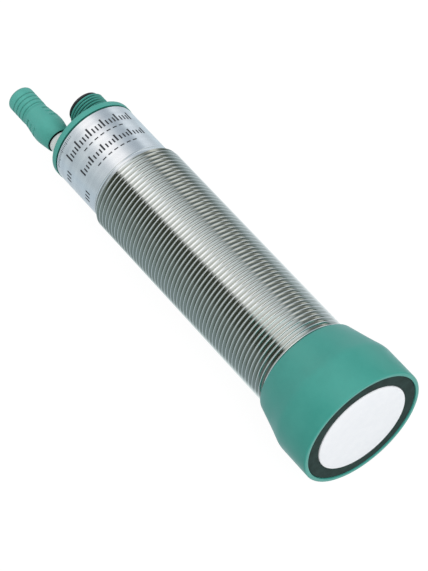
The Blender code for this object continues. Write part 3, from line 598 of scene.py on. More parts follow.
GROOVE_FLOOR = TUBE_RADIUS - GROOVE_DEPTH
GROOVE_EDGE_ROUNDING = 0.1 * MM
GROOVE_FLOOR_ROUNDING = 0.08 * MM
NOTCH_COUNT = 3
NOTCH_PITCH = 2.0
FIRST_NOTCH = 10.7
NOTCHES = [PLUG_TIP + (FIRST_NOTCH + NOTCH_PITCH * number) * MM for number in range(NOTCH_COUNT)]
NOTCH_RADIUS = 0.45 * MM
NOTCH_LIFT = 0.11 * MM
NOTCH_SIDES = 16
NOTCH_STEPS = 24
NOTCH_REACH = radians(52)
NOTCH_MIDDLES = (radians(92), radians(-88))


def make_clear_collar():
    """The clear collar that the plug stands on: a stepped tube through the cap."""
    obj = turn("clear_collar", [
        (COLLAR_HIGH.x, CLEAR_BORE),
        (COLLAR_HIGH.x, CLEAR_SPIGOT),
        (CLEAR_FRONT, CLEAR_SPIGOT),
        (CLEAR_FRONT, CLEAR_OUTER),
        (CLEAR_REAR, CLEAR_OUTER),
        (CLEAR_REAR, CLEAR_NECK),
        (COLLAR_LOW.x, CLEAR_NECK),
        (COLLAR_LOW.x, CLEAR_BORE),
        (COLLAR_HIGH.x, CLEAR_BORE),
    ], SOCKET_Y, SMALL_STEPS)
    round_rims(obj, [
        (CLEAR_FRONT, CLEAR_OUTER, CLEAR_FRONT_ROUNDING, 2),
        (CLEAR_REAR, CLEAR_OUTER, CLEAR_REAR_ROUNDING, 3),
        (COLLAR_LOW.x, CLEAR_NECK, CLEAR_NECK_ROUNDING, 3),
    ], SOCKET_Y)
    return smooth(obj)


def notch_cutter(x, radius, start):
    """A bent rod that cuts one finger notch round the grip; its start is an angle from the top to +y."""
    deselect()
    bpy.ops.mesh.primitive_circle_add(
        vertices=NOTCH_SIDES,
        radius=NOTCH_RADIUS,
        fill_type="NGON",
        location=(x, 0, radius + NOTCH_LIFT),
        rotation=(pi / 2, 0, 0),
    )
    cutter = settle(bpy.context.object)
    bpy.ops.object.mode_set(mode="EDIT")
    bpy.ops.mesh.select_all(action="SELECT")
    bpy.ops.mesh.spin(steps=NOTCH_STEPS, angle=2 * NOTCH_REACH, center=(0, 0, 0), axis=(1, 0, 0))
    clean_shell(cutter)
    cutter.rotation_euler = (-start, 0, 0)
    cutter.location = (0, SOCKET_Y, 0)
    return settle(cutter)


def make_plug():
    """The push-in plug: ribbed tube, waist, flared grip with notches, hollow from its mouth."""
    outline = [(PLUG_FLOOR, 0), (PLUG_FLOOR, PLUG_BORE_RADIUS), (PLUG_RECESS_END, PLUG_BORE_RADIUS)]
    outline += [(PLUG_RECESS_END, RECESS_RADIUS), (PLUG_MOUTH, RECESS_RADIUS)]
    outline += [(PLUG_MOUTH, MOUTH_RADIUS), (FLARE_PLACE, FLARE_RADIUS), (WAIST_PLACE, WAIST_RADIUS)]
    for x in reversed(GROOVES):
        outline += [(x + GROOVE_HALF, TUBE_RADIUS), (x, GROOVE_FLOOR), (x - GROOVE_HALF, TUBE_RADIUS)]
    outline += [(PLUG_TIP, TUBE_RADIUS), (PLUG_TIP, 0)]
    obj = turn("plug_grip_fine", outline, SOCKET_Y, SMALL_STEPS)
    rims = [
        (PLUG_MOUTH, MOUTH_RADIUS, MOUTH_ROUNDING, 2),
        (FLARE_PLACE, FLARE_RADIUS, FLARE_ROUNDING, 8),
        (WAIST_PLACE, WAIST_RADIUS, WAIST_ROUNDING, 4),
        (PLUG_TIP, TUBE_RADIUS, TIP_ROUNDING, 8),
    ]
    for x in GROOVES:
        rims += [(x + side * GROOVE_HALF, TUBE_RADIUS, GROOVE_EDGE_ROUNDING, 2) for side in (1, -1)]
        rims += [(x, GROOVE_FLOOR, GROOVE_FLOOR_ROUNDING, 2)]
    round_rims(obj, rims, SOCKET_Y)
    for x in NOTCHES:
        share = (x - WAIST_PLACE) / (FLARE_PLACE - WAIST_PLACE)
        radius = WAIST_RADIUS + (FLARE_RADIUS - WAIST_RADIUS) * share
        for middle in NOTCH_MIDDLES:
            cut(obj, notch_cutter(x, radius, middle - NOTCH_REACH))
    return smooth(obj)


# Printed marks on the smooth section: plain graduations and bars
INK_RADIUS = SMOOTH_RADIUS
INK_THICKNESS = 0.035 * MM
INK_STEP = radians(2.5)

# Rows of marks: places along the axis and lengths in millimetres, widths and places round it in degrees
GRADUATIONS = ((-119.6, 1.9, 3.1), (-112.7, 1.6, 2.6))
GRADUATION_PLACES = range(-35, 66, 5)
SHORT_WIDTH = 2.0
TALL_WIDTH = 2.4
DASHES = (-116.3, -109.4)
DASH_SIZE = (0.4, 5.5)
DASH_PLACES = range(-8, 54, 9)
SIDE_BARS = (-117.9, -108.7)
SIDE_BAR_SIZE = (2.0, 2.2)
SIDE_BAR_PLACES = (-65, -59, -53)
SHORT_TICKS = -123.3
SHORT_TICK_SIZE = (0.7, 0.6)
SHORT_TICK_PLACES = [-62 + 2.4 * number for number in range(20) if number % 5]
LONG_TICKS = -123.2
LONG_TICK_SIZE = (1.1, 0.8)
LONG_TICK_PLACES = [-62 + 12.0 * number for number in range(4)]


def ink_bar(x, length, angle):
    """One bar of ink, a thin plate spun round the axis: its middle is its own angle short of the top."""
    deselect()
    bpy.ops.mesh.primitive_plane_add(size=1, rotation=(pi / 2 + angle / 2, 0, 0))
    bar = bpy.context.object
    bar.scale = (length, INK_THICKNESS, 1)
    bar.location = (x, -sin(angle / 2) * INK_RADIUS, cos(angle / 2) * INK_RADIUS)
    settle(bar)
    bpy.ops.object.mode_set(mode="EDIT")
    bpy.ops.mesh.select_all(action="SELECT")
    steps = max(1, round(angle / INK_STEP))
    bpy.ops.mesh.spin(steps=steps, angle=-angle, center=(0, 0, 0), axis=(1, 0, 0))
    return clean_shell(bar)


def ink_row(x, length, width, places):
    """A row of bars, each its own width short of its place, which counts from the top towards +y."""
    first = ink_bar(x * MM, length * MM, radians(width))
    row = [again(first, "bar", roll=-radians(place)) for place in places]
    bpy.data.objects.remove(first, do_unlink=True)
    return row


def make_marks():
    """All printed marks as one thin piece: graduated and dashed rows, side bars and ticks at the rim."""
    marks = []
    between = [place for index, place in enumerate(GRADUATION_PLACES) if index % 4]
    for x, short, tall in GRADUATIONS:
        marks += ink_row(x + tall / 2 - short / 2, short, SHORT_WIDTH, between)
        marks += ink_row(x, tall, TALL_WIDTH, GRADUATION_PLACES[::4])
    for x in DASHES:
        marks += ink_row(x, *DASH_SIZE, DASH_PLACES)
    for x in SIDE_BARS:
        marks += ink_row(x, *SIDE_BAR_SIZE, SIDE_BAR_PLACES)
    marks += ink_row(SHORT_TICKS, *SHORT_TICK_SIZE, SHORT_TICK_PLACES)
    marks += ink_row(LONG_TICKS, *LONG_TICK_SIZE, LONG_TICK_PLACES)
    return smooth(join("printed_marks", marks))


# Nodes of materials

def add(tree, kind, sockets=None, **settings):
    """A shader node with its settings; each socket gets a plain value or a link."""
    node = tree.nodes.new("ShaderNode" + kind)
    for key, value in settings.items():
        setattr(node, key, value)
    for key, value in (sockets or {}).items():
        if isinstance(value, bpy.types.NodeSocket):
            tree.links.new(value, node.inputs[key])
        else:
            node.inputs[key].default_value = value
    return node


def blend(tree, mask, first, second):
    """A colour that goes from the first to the second as the mask goes from 0 to 1."""
    return add(tree, "Mix", {0: mask, 6: first, 7: second}, data_type="RGBA").outputs[2]


def spread(tree, value, low, high, to_low, to_high):
    """A value mapped from one range to another, held at its ends."""
    sockets = {"Value": value, "From Min": low, "From Max": high, "To Min": to_low, "To Max": to_high}
    return add(tree, "MapRange", sockets).outputs["Result"]


def combined(tree, first, second, operation="ADD"):
    """Two values added, or put together by another operation."""
    return add(tree, "Math", {0: first, 1: second}, operation=operation).outputs[0]


def clouds_of(tree, vector, scale, **values):
    """A noise texture over a vector, its other values by their sockets' names."""
    return add(tree, "TexNoise", {"Vector": vector, "Scale": scale, **values}).outputs["Fac"]


def rings_of(tree, along, scale, detail):
    """A noise texture along one direction."""
    sockets = {"W": along, "Scale": scale, "Detail": detail}
    return add(tree, "TexNoise", sockets, noise_dimensions="1D").outputs["Fac"]


def along_axis(tree, vector):
    """The X part of a vector."""
    return add(tree, "SeparateXYZ", {"Vector": vector}).outputs["X"]


def start_group(name, inputs, outputs):
    """An empty node group with named sockets, its input node and its output node."""
    tree = bpy.data.node_groups.new(name, "ShaderNodeTree")
    for label, kind, value in inputs:
        socket = tree.interface.new_socket(name=label, in_out="INPUT", socket_type="NodeSocket" + kind)
        if value is not None:
            socket.default_value = value
    for label, kind in outputs:
        tree.interface.new_socket(name=label, in_out="OUTPUT", socket_type="NodeSocket" + kind)
    return tree, tree.nodes.new("NodeGroupInput").outputs, tree.nodes.new("NodeGroupOutput").inputs


def moulded_surface_group():
    """Cloudy shift between two colours, and the mould's fine grain as a height."""
    tree, given, made = start_group(
        "moulded surface",
        [
            ("Vector", "Vector", None),
            ("Colour", "Color", (0.5, 0.5, 0.5, 1)),
            ("Deep Colour", "Color", (0.4, 0.4, 0.4, 1)),
            ("Cloud Scale", "Float", 200.0),
            ("Grain Scale", "Float", 3000.0),
        ],
        [("Colour", "Color"), ("Clouds", "Float"), ("Grain", "Float")],
    )
    clouds = clouds_of(tree, given["Vector"], given["Cloud Scale"], Detail=3.0, Roughness=0.6)
    grain = clouds_of(tree, given["Vector"], given["Grain Scale"], Detail=2.0, Roughness=0.5)
    mask = spread(tree, clouds, 0.36, 0.64, 0.0, 1.0)
    speckled = spread(tree, combined(tree, mask, grain), 0.45, 1.55, 1.0, 0.0)
    tree.links.new(blend(tree, speckled, given["Colour"], given["Deep Colour"]), made["Colour"])
    tree.links.new(mask, made["Clouds"])
    tree.links.new(grain, made["Grain"])
    return tree


def turning_marks_group():
    """Fine rings that a lathe leaves round an axis along X, as a height and a faint streak mask."""
    tree, given, made = start_group(
        "turning marks",
        [("Vector", "Vector", None), ("Rings per Metre", "Float", 4000.0)],
        [("Height", "Float"), ("Streaks", "Float")],
    )
    along = along_axis(tree, given["Vector"])
    fine = rings_of(tree, along, given["Rings per Metre"], 2.0)
    broad = rings_of(tree, along, combined(tree, given["Rings per Metre"], 0.12, "MULTIPLY"), 3.0)
    tree.links.new(fine, made["Height"])
    tree.links.new(spread(tree, broad, 0.3, 0.7, 0.0, 1.0), made["Streaks"])
    return tree


def thread_height_group():
    """How far a point stands out from the axis along X, 0 at the low radius and 1 at the high one."""
    tree, given, made = start_group(
        "thread height",
        [("Vector", "Vector", None), ("Low Radius", "Float", 0.01), ("High Radius", "Float", 0.02)],
        [("Height", "Float")],
    )
    parts = add(tree, "SeparateXYZ", {"Vector": given["Vector"]}).outputs
    across = add(tree, "CombineXYZ", {"Y": parts["Y"], "Z": parts["Z"]}).outputs["Vector"]
    radius = add(tree, "VectorMath", {0: across}, operation="LENGTH").outputs["Value"]
    height = spread(tree, radius, given["Low Radius"], given["High Radius"], 0.0, 1.0)
    tree.links.new(height, made["Height"])
    return tree


def smudges_group():
    """Faint handling smudges, 0 where clean and 1 where smudged."""
    tree, given, made = start_group(
        "smudges", [("Vector", "Vector", None), ("Scale", "Float", 90.0)], [("Smudge", "Float")]
    )
    noise = clouds_of(tree, given["Vector"], given["Scale"], Detail=5.0, Distortion=0.8)
    tree.links.new(spread(tree, noise, 0.5, 0.68, 0.0, 1.0), made["Smudge"])
    return tree


MOULDED_SURFACE = moulded_surface_group()
TURNING_MARKS = turning_marks_group()
THREAD_HEIGHT = thread_height_group()
SMUDGES = smudges_group()


# Heights of relief
MOULD_GRAIN = 0.004 * MM
TURNED_GRAIN = 0.0015 * MM


def place_group(tree, group, sockets):
    """One use of a node group in a material, with its own values."""
    node = tree.nodes.new("ShaderNodeGroup")
    node.node_tree = group
    for key, value in sockets.items():
        if isinstance(value, bpy.types.NodeSocket):
            tree.links.new(value, node.inputs[key])
        else:
            node.inputs[key].default_value = value
    return node.outputs


def object_place(tree, shift=(0, 0, 0)):
    """Object coordinates, moved so that a pattern centres on an axis of its own."""
    place = add(tree, "TexCoord").outputs["Object"]
    return add(tree, "Mapping", {"Vector": place, "Location": shift}).outputs["Vector"]


def start_material(name, **plain):
    """A material with its node tree and Principled shader, whose plain values are set on its sockets."""
    material = bpy.data.materials.new(name)
    material.use_nodes = True
    shader = material.node_tree.nodes["Principled BSDF"]
    for key, value in plain.items():
        shader.inputs[key.replace("_", " ")].default_value = value
    return material, material.node_tree, shader


def bump(tree, shader, height, depth):
    """Feeds a height into the shader's normal; the depth is in metres."""
    node = add(tree, "Bump", {"Height": height, "Strength": 1.0, "Distance": depth})
    tree.links.new(node.outputs["Normal"], shader.inputs["Normal"])


def moulded(name, colour, deep, rough, cloud=220.0, grain=3200.0, depth=MOULD_GRAIN, **plain):
    """A moulded or cast finish: clouded colour, grain in the relief, smudges in the gloss."""
    material, tree, shader = start_material(name, **plain)
    place = object_place(tree)
    surface = place_group(tree, MOULDED_SURFACE, {
        "Vector": place,
        "Colour": (*colour, 1),
        "Deep Colour": (*deep, 1),
        "Cloud Scale": cloud,
        "Grain Scale": grain,
    })
    smudge = place_group(tree, SMUDGES, {"Vector": place, "Scale": 0.5 * cloud})["Smudge"]
    tree.links.new(surface["Colour"], shader.inputs["Base Color"])
    duller = min(1.0, rough + 0.16)
    roughness = spread(tree, combined(tree, smudge, surface["Clouds"]), 0.0, 2.0, rough, duller)
    tree.links.new(roughness, shader.inputs["Roughness"])
    bump(tree, shader, surface["Grain"], depth)
    return material


def turned_metal(name, colour, deep, rough, rings=4000.0, depth=TURNED_GRAIN):
    """A turned metal finish: fine rings in the relief, faint streaks in colour and gloss."""
    material, tree, shader = start_material(name, Metallic=1.0)
    place = object_place(tree)
    marks = place_group(tree, TURNING_MARKS, {"Vector": place, "Rings per Metre": rings})
    smudge = place_group(tree, SMUDGES, {"Vector": place, "Scale": 120.0})["Smudge"]
    streaked = blend(tree, marks["Streaks"], (*colour, 1), (*deep, 1))
    tree.links.new(streaked, shader.inputs["Base Color"])
    roughness = spread(tree, combined(tree, smudge, marks["Streaks"]), 0.0, 2.0, rough, rough + 0.14)
    tree.links.new(roughness, shader.inputs["Roughness"])
    bump(tree, shader, marks["Height"], depth)
    return material, tree, shader, place, streaked


# Nickel in the thread: on its flanks, paler on its crests as a painted highlight and darker at its root as
# painted shade
FLANK_NICKEL = (0.68, 0.70, 0.69, 1)
CREST_HIGHLIGHT_NICKEL = (0.86, 0.86, 0.845, 1)
ROOT_SHADE_NICKEL = (0.46, 0.47, 0.42, 1)

# Where the painted highlight and the painted shade begin and end, as parts of the thread's depth, and the
# dark line painted at the cone's foot
CREST_HIGHLIGHT_FROM_TO = (0.86, 1.0)
ROOT_SHADE_FROM_TO = (0.02, 0.3)
DARK_LINE_FROM_TO = (0.06 * MM, 0.13 * MM)

# The share of the turned metal's roughness that is left in the thread
THREAD_GLOSS = 0.4


def nickel():
    """Nickel plating on turned brass: bright smooth section, crests painted paler as a highlight, olive
    painted shade down in the thread.
    """
    material, tree, shader, place, plated = turned_metal(
        "nickel_plating", (0.78, 0.79, 0.79), (0.71, 0.72, 0.73), 0.16
    )
    crest = place_group(tree, THREAD_HEIGHT, {
        "Vector": place,
        "Low Radius": THREAD_RADIUS - THREAD_DEPTH,
        "High Radius": THREAD_RADIUS - 0.1 * MM,
    })["Height"]
    along = along_axis(tree, place)
    threaded = spread(tree, along, RUNOUT_END + MM, THREAD_END, 0.0, 1.0)
    # Painted shade: the thread's roots are coloured darker, and a dark line is painted at the cone's foot.
    painted_shade_and_line = combined(tree, threaded, spread(tree, crest, *ROOT_SHADE_FROM_TO, 1.0, 0.0), "MULTIPLY")
    from_line = combined(tree, combined(tree, along, RUNOUT_END, "SUBTRACT"), 0.0, "ABSOLUTE")
    painted_shade_and_line = combined(tree, painted_shade_and_line, spread(tree, from_line, *DARK_LINE_FROM_TO, 1.0, 0.0), "MAXIMUM")
    # Painted highlight: the thread's crests are coloured paler.
    crest_highlight = combined(tree, threaded, spread(tree, crest, *CREST_HIGHLIGHT_FROM_TO, 0.0, 1.0), "MULTIPLY")
    with_crest_highlight = blend(tree, crest_highlight, blend(tree, threaded, plated, FLANK_NICKEL), CREST_HIGHLIGHT_NICKEL)
    tree.links.new(blend(tree, painted_shade_and_line, with_crest_highlight, ROOT_SHADE_NICKEL), shader.inputs["Base Color"])
    gloss = shader.inputs["Roughness"].links[0].from_socket
    smoother = spread(tree, threaded, 0.0, 1.0, 1.0, THREAD_GLOSS)
    tree.links.new(combined(tree, gloss, smoother, "MULTIPLY"), shader.inputs["Roughness"])
    return material


def green_with_painted_groove_shade(name, colour, deep, axis_y, low, high, root):
    """The green plastic with painted shade in its thread or groove roots, which are coloured darker than its
    crests.
    """
    material, tree, shader = start_material(name, Specular_IOR_Level=0.45)
    place = object_place(tree, (0, -axis_y, 0))
    surface = place_group(tree, MOULDED_SURFACE, {
        "Vector": place,
        "Colour": (*colour, 1),
        "Deep Colour": (*deep, 1),
        "Cloud Scale": 260.0,
        "Grain Scale": 3400.0,
    })
    sockets = {"Vector": place, "Low Radius": low, "High Radius": high}
    crest = place_group(tree, THREAD_HEIGHT, sockets)["Height"]
    # Painted shade: the roots take the darker root colour, the crests the plastic's own.
    tree.links.new(blend(tree, crest, (*root, 1), surface["Colour"]), shader.inputs["Base Color"])
    tree.links.new(spread(tree, surface["Clouds"], 0.0, 1.0, 0.36, 0.46), shader.inputs["Roughness"])
    bump(tree, shader, surface["Grain"], MOULD_GRAIN)
    return material


NECK_PAINTED_SHADE = (0.008, 0.009, 0.009, 1)


def clear_with_painted_shade_neck():
    """Clear plastic, painted black on the neck that the plug slides over, as the shade in the slot at the
    plug's mouth.
    """
    clear = {"Transmission_Weight": 0.12, "IOR": 1.49}
    material = moulded("clear_collar_plastic", (0.95, 1.0, 0.98), (0.90, 0.97, 0.95), 0.22, **clear)
    tree = material.node_tree
    base = tree.nodes["Principled BSDF"].inputs["Base Color"]
    along = along_axis(tree, object_place(tree))
    # Painted shade: the neck is black from just behind the plug's mouth, where it lies in the slot's shade.
    neck_shade = spread(tree, along, PLUG_MOUTH + 0.24 * MM, PLUG_MOUTH + 0.28 * MM, 1.0, 0.0)
    tree.links.new(blend(tree, neck_shade, base.links[0].from_socket, NECK_PAINTED_SHADE), base)
    return material


GREEN = (0.047, 0.334, 0.279)
DEEP_GREEN = (0.040, 0.311, 0.259)
# Painted shade for the collar's thread roots and the plug's grooves
THREAD_ROOT_SHADE_GREEN = (0.004, 0.034, 0.028)
GROOVE_SHADE_GREEN = (0.030, 0.210, 0.175)

LAMP = {"Transmission_Weight": 0.5}

FINISHES = {
    "nickel_barrel": nickel(),
    "green_plastic": moulded(
        "green_plastic_moulded", GREEN, DEEP_GREEN, 0.3, 170.0, depth=0.003 * MM, Specular_IOR_Level=0.55
    ),
    "black_foam": moulded(
        "soft_ring_foam", (0.023, 0.050, 0.045), (0.013, 0.032, 0.028), 0.9, 300.0, 2400.0, 0.03 * MM
    ),
    "white_resin": moulded(
        "face_resin", (0.915, 0.935, 0.965), (0.885, 0.908, 0.942), 0.5, 420.0, 2600.0, 0.006 * MM
    ),
    "piezo_ceramic": moulded("piezo_ceramic_fired", (0.55, 0.50, 0.38), (0.47, 0.42, 0.31), 0.62),
    "damping_silicone": moulded("damping_silicone_cast", (0.30, 0.31, 0.32), (0.22, 0.23, 0.24), 0.55),
    "lead_insulation": moulded("lead_insulation_red", (0.42, 0.05, 0.04), (0.33, 0.035, 0.03), 0.4),
    "black_rubber": moulded("seal_rubber", (0.016, 0.016, 0.017), (0.010, 0.010, 0.011), 0.6),
    "board_laminate": moulded(
        "board_laminate_green", (0.03, 0.16, 0.06), (0.02, 0.11, 0.045), 0.35, 500.0, 2600.0
    ),
    "ferrite": moulded("ferrite_sintered", (0.045, 0.043, 0.045), (0.03, 0.03, 0.032), 0.55),
    "copper_wire": turned_metal(
        "winding_copper", (0.72, 0.32, 0.16), (0.55, 0.22, 0.10), 0.3, 2600.0, 0.05 * MM
    )[0],
    "black_plastic": moulded("black_plastic_moulded", (0.017, 0.019, 0.020), (0.011, 0.012, 0.013), 0.42),
    "capacitor_can": turned_metal("capacitor_can_aluminium", (0.72, 0.73, 0.75), (0.62, 0.63, 0.66), 0.3)[0],
    "green_lamp": moulded("lamp_green_lens", (0.16, 0.62, 0.20), (0.10, 0.50, 0.15), 0.2, **LAMP),
    "yellow_lamp": moulded("lamp_yellow_lens", (0.85, 0.62, 0.08), (0.75, 0.50, 0.05), 0.2, **LAMP),
    "gold_contact": turned_metal("contact_gold", (0.90, 0.66, 0.26), (0.82, 0.57, 0.20), 0.18, 5000.0)[0],
    "clear_plastic": clear_with_painted_shade_neck(),
    "potting_resin": moulded("probe_potting", (0.06, 0.06, 0.065), (0.04, 0.04, 0.045), 0.35),
}
# The plug and the cap are the head's green plastic, coloured lighter as painted light; their roots and
# grooves get painted shade.
PLUG_GREEN_PAINTED_LIGHTER = green_with_painted_groove_shade(
    "plug_green_painted_lighter", (0.092, 0.432, 0.368), (0.082, 0.405, 0.343),
    SOCKET_Y, GROOVE_FLOOR, TUBE_RADIUS - 0.05 * MM, GROOVE_SHADE_GREEN,
)
CAP_GREEN_PAINTED_LIGHTER = green_with_painted_groove_shade(
    "cap_green_painted_lighter", (0.080, 0.398, 0.336), (0.070, 0.370, 0.311),
    CONNECTOR_Y, COLLAR_RADIUS - COLLAR_DEPTH, COLLAR_RADIUS - 0.1 * MM, THREAD_ROOT_SHADE_GREEN,
)
INK = moulded("mark_ink", (0.022, 0.025, 0.032), (0.045, 0.048, 0.056), 0.6, 900.0, 4000.0, 0.002 * MM)

# Nodes that keep their CAD shape, by finish
CARRIED_OVER = {
    "piezo_ceramic": ["piezo_disc"],
    "damping_silicone": ["damping_block"],
    "lead_insulation": ["transducer_lead_a", "transducer_lead_b"],
    "black_rubber": ["head_seal_ring", "rear_seal_ring"],
    "board_laminate": ["circuit_board"],
    "ferrite": ["transformer_core"],
    "copper_wire": ["transformer_winding"],
    "black_plastic": ["microcontroller", "socket_insert", "plug_carrier"],
    "capacitor_can": ["storage_capacitor"],
    "green_lamp": ["led_green"],
    "yellow_lamp": ["led_yellow"],
    "gold_contact": ["plug_pin_1", "plug_pin_2", "plug_pin_3", "plug_pin_4"],
    "potting_resin": ["temperature_probe"],
}


def dress_sensor():
    """Makes every fine piece, and gives each piece and carried-over node its finish."""
    for make, slot, node in (
        (make_barrel, "nickel_barrel", "barrel"),
        (make_head, "green_plastic", "head_housing"),
        (make_ring, "black_foam", "decoupling_ring"),
        (make_face, "white_resin", "transducer_face"),
        (make_carrier, "black_plastic", "connector_insert"),
        (make_clear_collar, "clear_plastic", "socket_collar"),
    ):
        dress(make(), SENSOR, slot, FINISHES[slot], node)
    dress(make_cap(), SENSOR, "green_plastic", CAP_GREEN_PAINTED_LIGHTER, "rear_cap")
    dress(make_plug(), PLUG, "green_plastic", PLUG_GREEN_PAINTED_LIGHTER, "plug_grip")
    dress(make_marks(), SENSOR, "nickel_barrel", INK)
    pin = make_pin()
    for number in range(1, 6):
        node = f"contact_pin_{number}"
        low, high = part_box(node)
        twin = again(pin, f"round_pin_{number}", (0, (low.y + high.y) / 2, (low.z + high.z) / 2))
        dress(twin, SENSOR, "gold_contact", FINISHES["gold_contact"], node)
    bpy.data.objects.remove(pin, do_unlink=True)
    for slot, nodes in CARRIED_OVER.items():
        for node in nodes:
            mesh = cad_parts[node].data
            mesh.materials.clear()
            mesh.materials.append(FINISHES[slot])


# Studio
FLOOR_HEIGHT = -HEAD_RADIUS - 0.15 * MM
FLOOR_SIZE = 8
FLOOR_PLACE = (-0.07, 0, FLOOR_HEIGHT)
FLOOR_COLOUR = (0.74, 0.74, 0.74, 1)
FLOOR_GLOW = 1.12
FLOOR_GLOW_SHARE = 0.82
KEY_PLACE = (0.95, 0.35, 1.15)
KEY_AIM = (-0.05, 0, 0)
KEY_SIZE = 1.0
KEY_POWER = 11.0
FILL = 0.66
WHITE = (1, 1, 1, 1)

# The photograph's camera: its right and up directions, its place in metres and its lens in millimetres
CAMERA_RIGHT = (0.5927, 0.7312, -0.3377)
CAMERA_UP = (-0.6353, 0.6821, 0.3620)
CAMERA_PLACE = (0.26278, -0.0030, 0.57127)
CAMERA_SENSOR = 36
CAMERA_LENS = 149.12

# Where the cards behind give way to those ahead, as the X part of a mirror's direction
CARDS_MEET = (-0.42, -0.34)

# What mirrors see round the barrel: degrees from straight up towards the connector's side, and colour.
# The colours were scaled until the metal's brightness round it agreed with the photograph's.
CARDS_AHEAD = [
    (-180, (0.95, 1.02, 1.04)),
    (-156, (0.90, 0.98, 1.00)),
    (-149, (0.95, 1.02, 1.03)),
    (-144, (0.56, 0.66, 0.67)),
    (-139, (0.25, 0.31, 0.31)),
    (-128, (0.22, 0.28, 0.28)),
    (-108, (0.24, 0.30, 0.29)),
    (-92, (0.21, 0.26, 0.245)),
    (-70, (0.18, 0.215, 0.20)),
    (-56, (0.16, 0.185, 0.165)),
    (-46, (0.085, 0.10, 0.08)),
    (-38, (0.062, 0.071, 0.052)),
    (-11, (0.056, 0.064, 0.046)),
    (-2, (1.06, 1.06, 1.05)),
    (12, (1.20, 1.20, 1.20)),
    (36, (1.12, 1.17, 1.20)),
    (48, (0.92, 0.98, 1.02)),
    (56, (0.62, 0.67, 0.69)),
    (64, (0.26, 0.29, 0.28)),
    (84, (0.22, 0.24, 0.22)),
    (92, (0.29, 0.30, 0.27)),
    (100, (0.76, 0.76, 0.70)),
    (107, (0.66, 0.68, 0.63)),
    (113, (0.21, 0.23, 0.21)),
    (120, (0.10, 0.12, 0.11)),
    (127, (0.20, 0.245, 0.24)),
    (133, (0.38, 0.45, 0.46)),
    (141, (0.52, 0.58, 0.60)),
    (148, (0.86, 0.93, 0.96)),
    (156, (1.00, 1.06, 1.08)),
    (180, (0.95, 1.02, 1.04)),
]
CARDS_BEHIND = [
    (-180, (0.76, 0.83, 0.86)),
    (-160, (0.65, 0.73, 0.78)),
    (-140, (0.58, 0.67, 0.74)),
    (-120, (0.585, 0.69, 0.765)),
    (-105, (0.555, 0.665, 0.745)),
    (-90, (0.605, 0.70, 0.755)),
    (-80, (0.54, 0.62, 0.67)),
    (-66, (0.54, 0.625, 0.675)),
    (-52, (0.63, 0.71, 0.76)),
    (-40, (0.69, 0.76, 0.805)),
    (-24, (0.68, 0.75, 0.80)),
    (-8, (0.91, 0.95, 1.00)),
    (0, (1.15, 1.18, 1.21)),
    (12, (1.20, 1.20, 1.22)),
    (30, (1.15, 1.16, 1.20)),
    (42, (0.79, 0.84, 0.89)),
    (52, (0.667, 0.73, 0.79)),
    (60, (0.53, 0.605, 0.68)),
    (72, (0.465, 0.54, 0.61)),
    (80, (0.49, 0.565, 0.635)),
    (86, (0.61, 0.70, 0.77)),
    (92, (0.855, 0.94, 1.02)),
    (100, (0.845, 0.925, 1.00)),
    (110, (0.77, 0.85, 0.92)),
    (120, (0.63, 0.71, 0.776)),
    (130, (0.61, 0.70, 0.765)),
    (140, (0.69, 0.80, 0.875)),
    (150, (0.64, 0.75, 0.825)),
    (180, (0.76, 0.83, 0.86)),
]


def card_ramp(tree, turned, stops):
    """A ramp of colours round the barrel's axis."""
    ramp = add(tree, "ValToRGB", {"Fac": turned})
    elements = ramp.color_ramp.elements
    while len(elements) > 1:
        elements.remove(elements[-1])
    for index, (angle, colour) in enumerate(stops):
        stop = elements[0] if index == 0 else elements.new(1.0)
        stop.position = angle / 360 + 0.5
        stop.color = (*colour, 1)
    return ramp.outputs["Color"]


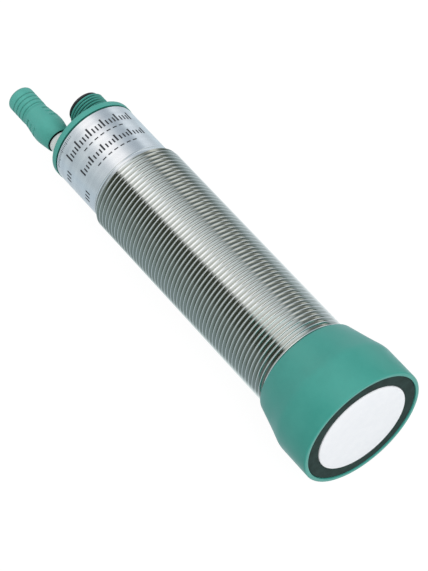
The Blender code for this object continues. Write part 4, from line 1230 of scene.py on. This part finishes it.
def light_surroundings():
    """White for the camera, even soft light on the object, and cards round the barrel for its mirrors."""
    world = bpy.data.worlds.new("studio")
    bpy.context.scene.world = world
    world.use_nodes = True
    tree = world.node_tree
    background = tree.nodes["Background"]
    away = add(tree, "SeparateXYZ", {"Vector": add(tree, "TexCoord").outputs["Generated"]}).outputs
    angle = combined(tree, away["Y"], away["Z"], "ARCTAN2")
    turned = spread(tree, angle, -pi, pi, 0.0, 1.0)
    ahead = card_ramp(tree, turned, CARDS_AHEAD)
    behind = card_ramp(tree, turned, CARDS_BEHIND)
    cards = blend(tree, spread(tree, away["X"], *CARDS_MEET, 0.0, 1.0), behind, ahead)
    path = add(tree, "LightPath").outputs
    for_object = blend(tree, path["Is Glossy Ray"], (FILL, FILL, FILL, 1), cards)
    seen = combined(tree, path["Is Camera Ray"], path["Is Transmission Ray"], "MAXIMUM")
    tree.links.new(blend(tree, seen, for_object, WHITE), background.inputs["Color"])


def lay_floor():
    """The pale floor, white to the camera but for a part of the object's shadow."""
    deselect()
    bpy.ops.mesh.primitive_plane_add(size=FLOOR_SIZE, location=FLOOR_PLACE)
    floor = bpy.context.object
    floor.name = "floor"
    floor.visible_glossy = False
    material, tree, shader = start_material("floor_white", Roughness=0.9, Base_Color=FLOOR_COLOUR)
    glow = add(tree, "Emission", {"Color": WHITE, "Strength": FLOOR_GLOW})
    path = add(tree, "LightPath").outputs
    seen = combined(tree, path["Is Camera Ray"], path["Is Transmission Ray"], "MAXIMUM")
    share = combined(tree, seen, FLOOR_GLOW_SHARE, "MULTIPLY")
    mix = add(tree, "MixShader", {0: share, 1: shader.outputs["BSDF"], 2: glow.outputs["Emission"]})
    tree.links.new(mix.outputs["Shader"], tree.nodes["Material Output"].inputs["Surface"])
    floor.data.materials.append(material)


def hang_key_light():
    """One large soft lamp over the connector's side."""
    deselect()
    bpy.ops.object.light_add(type="AREA", location=KEY_PLACE)
    lamp = bpy.context.object
    lamp.name = "key_light"
    lamp.data.energy = KEY_POWER
    lamp.data.shape = "DISK"
    lamp.data.size = KEY_SIZE
    aim = Vector(KEY_AIM) - Vector(KEY_PLACE)
    lamp.rotation_euler = aim.to_track_quat("-Z", "Y").to_euler()
    lamp.visible_glossy = False


def place_camera():
    """The camera, turned by its right, up and back directions."""
    right = Vector(CAMERA_RIGHT)
    up = Vector(CAMERA_UP)
    back = right.cross(up).normalized()
    up = back.cross(right).normalized()
    deselect()
    bpy.ops.object.camera_add()
    camera = bpy.context.object
    camera.name = "camera"
    turned = Matrix((right.normalized(), up, back)).transposed().to_4x4()
    camera.matrix_world = Matrix.Translation(CAMERA_PLACE) @ turned
    camera.data.sensor_width = CAMERA_SENSOR
    camera.data.lens = CAMERA_LENS
    camera.data.clip_start = 0.01
    bpy.context.scene.camera = camera


bpy.context.scene.view_settings.view_transform = "Standard"
dress_sensor()
light_surroundings()
lay_floor()
hang_key_light()
place_camera()
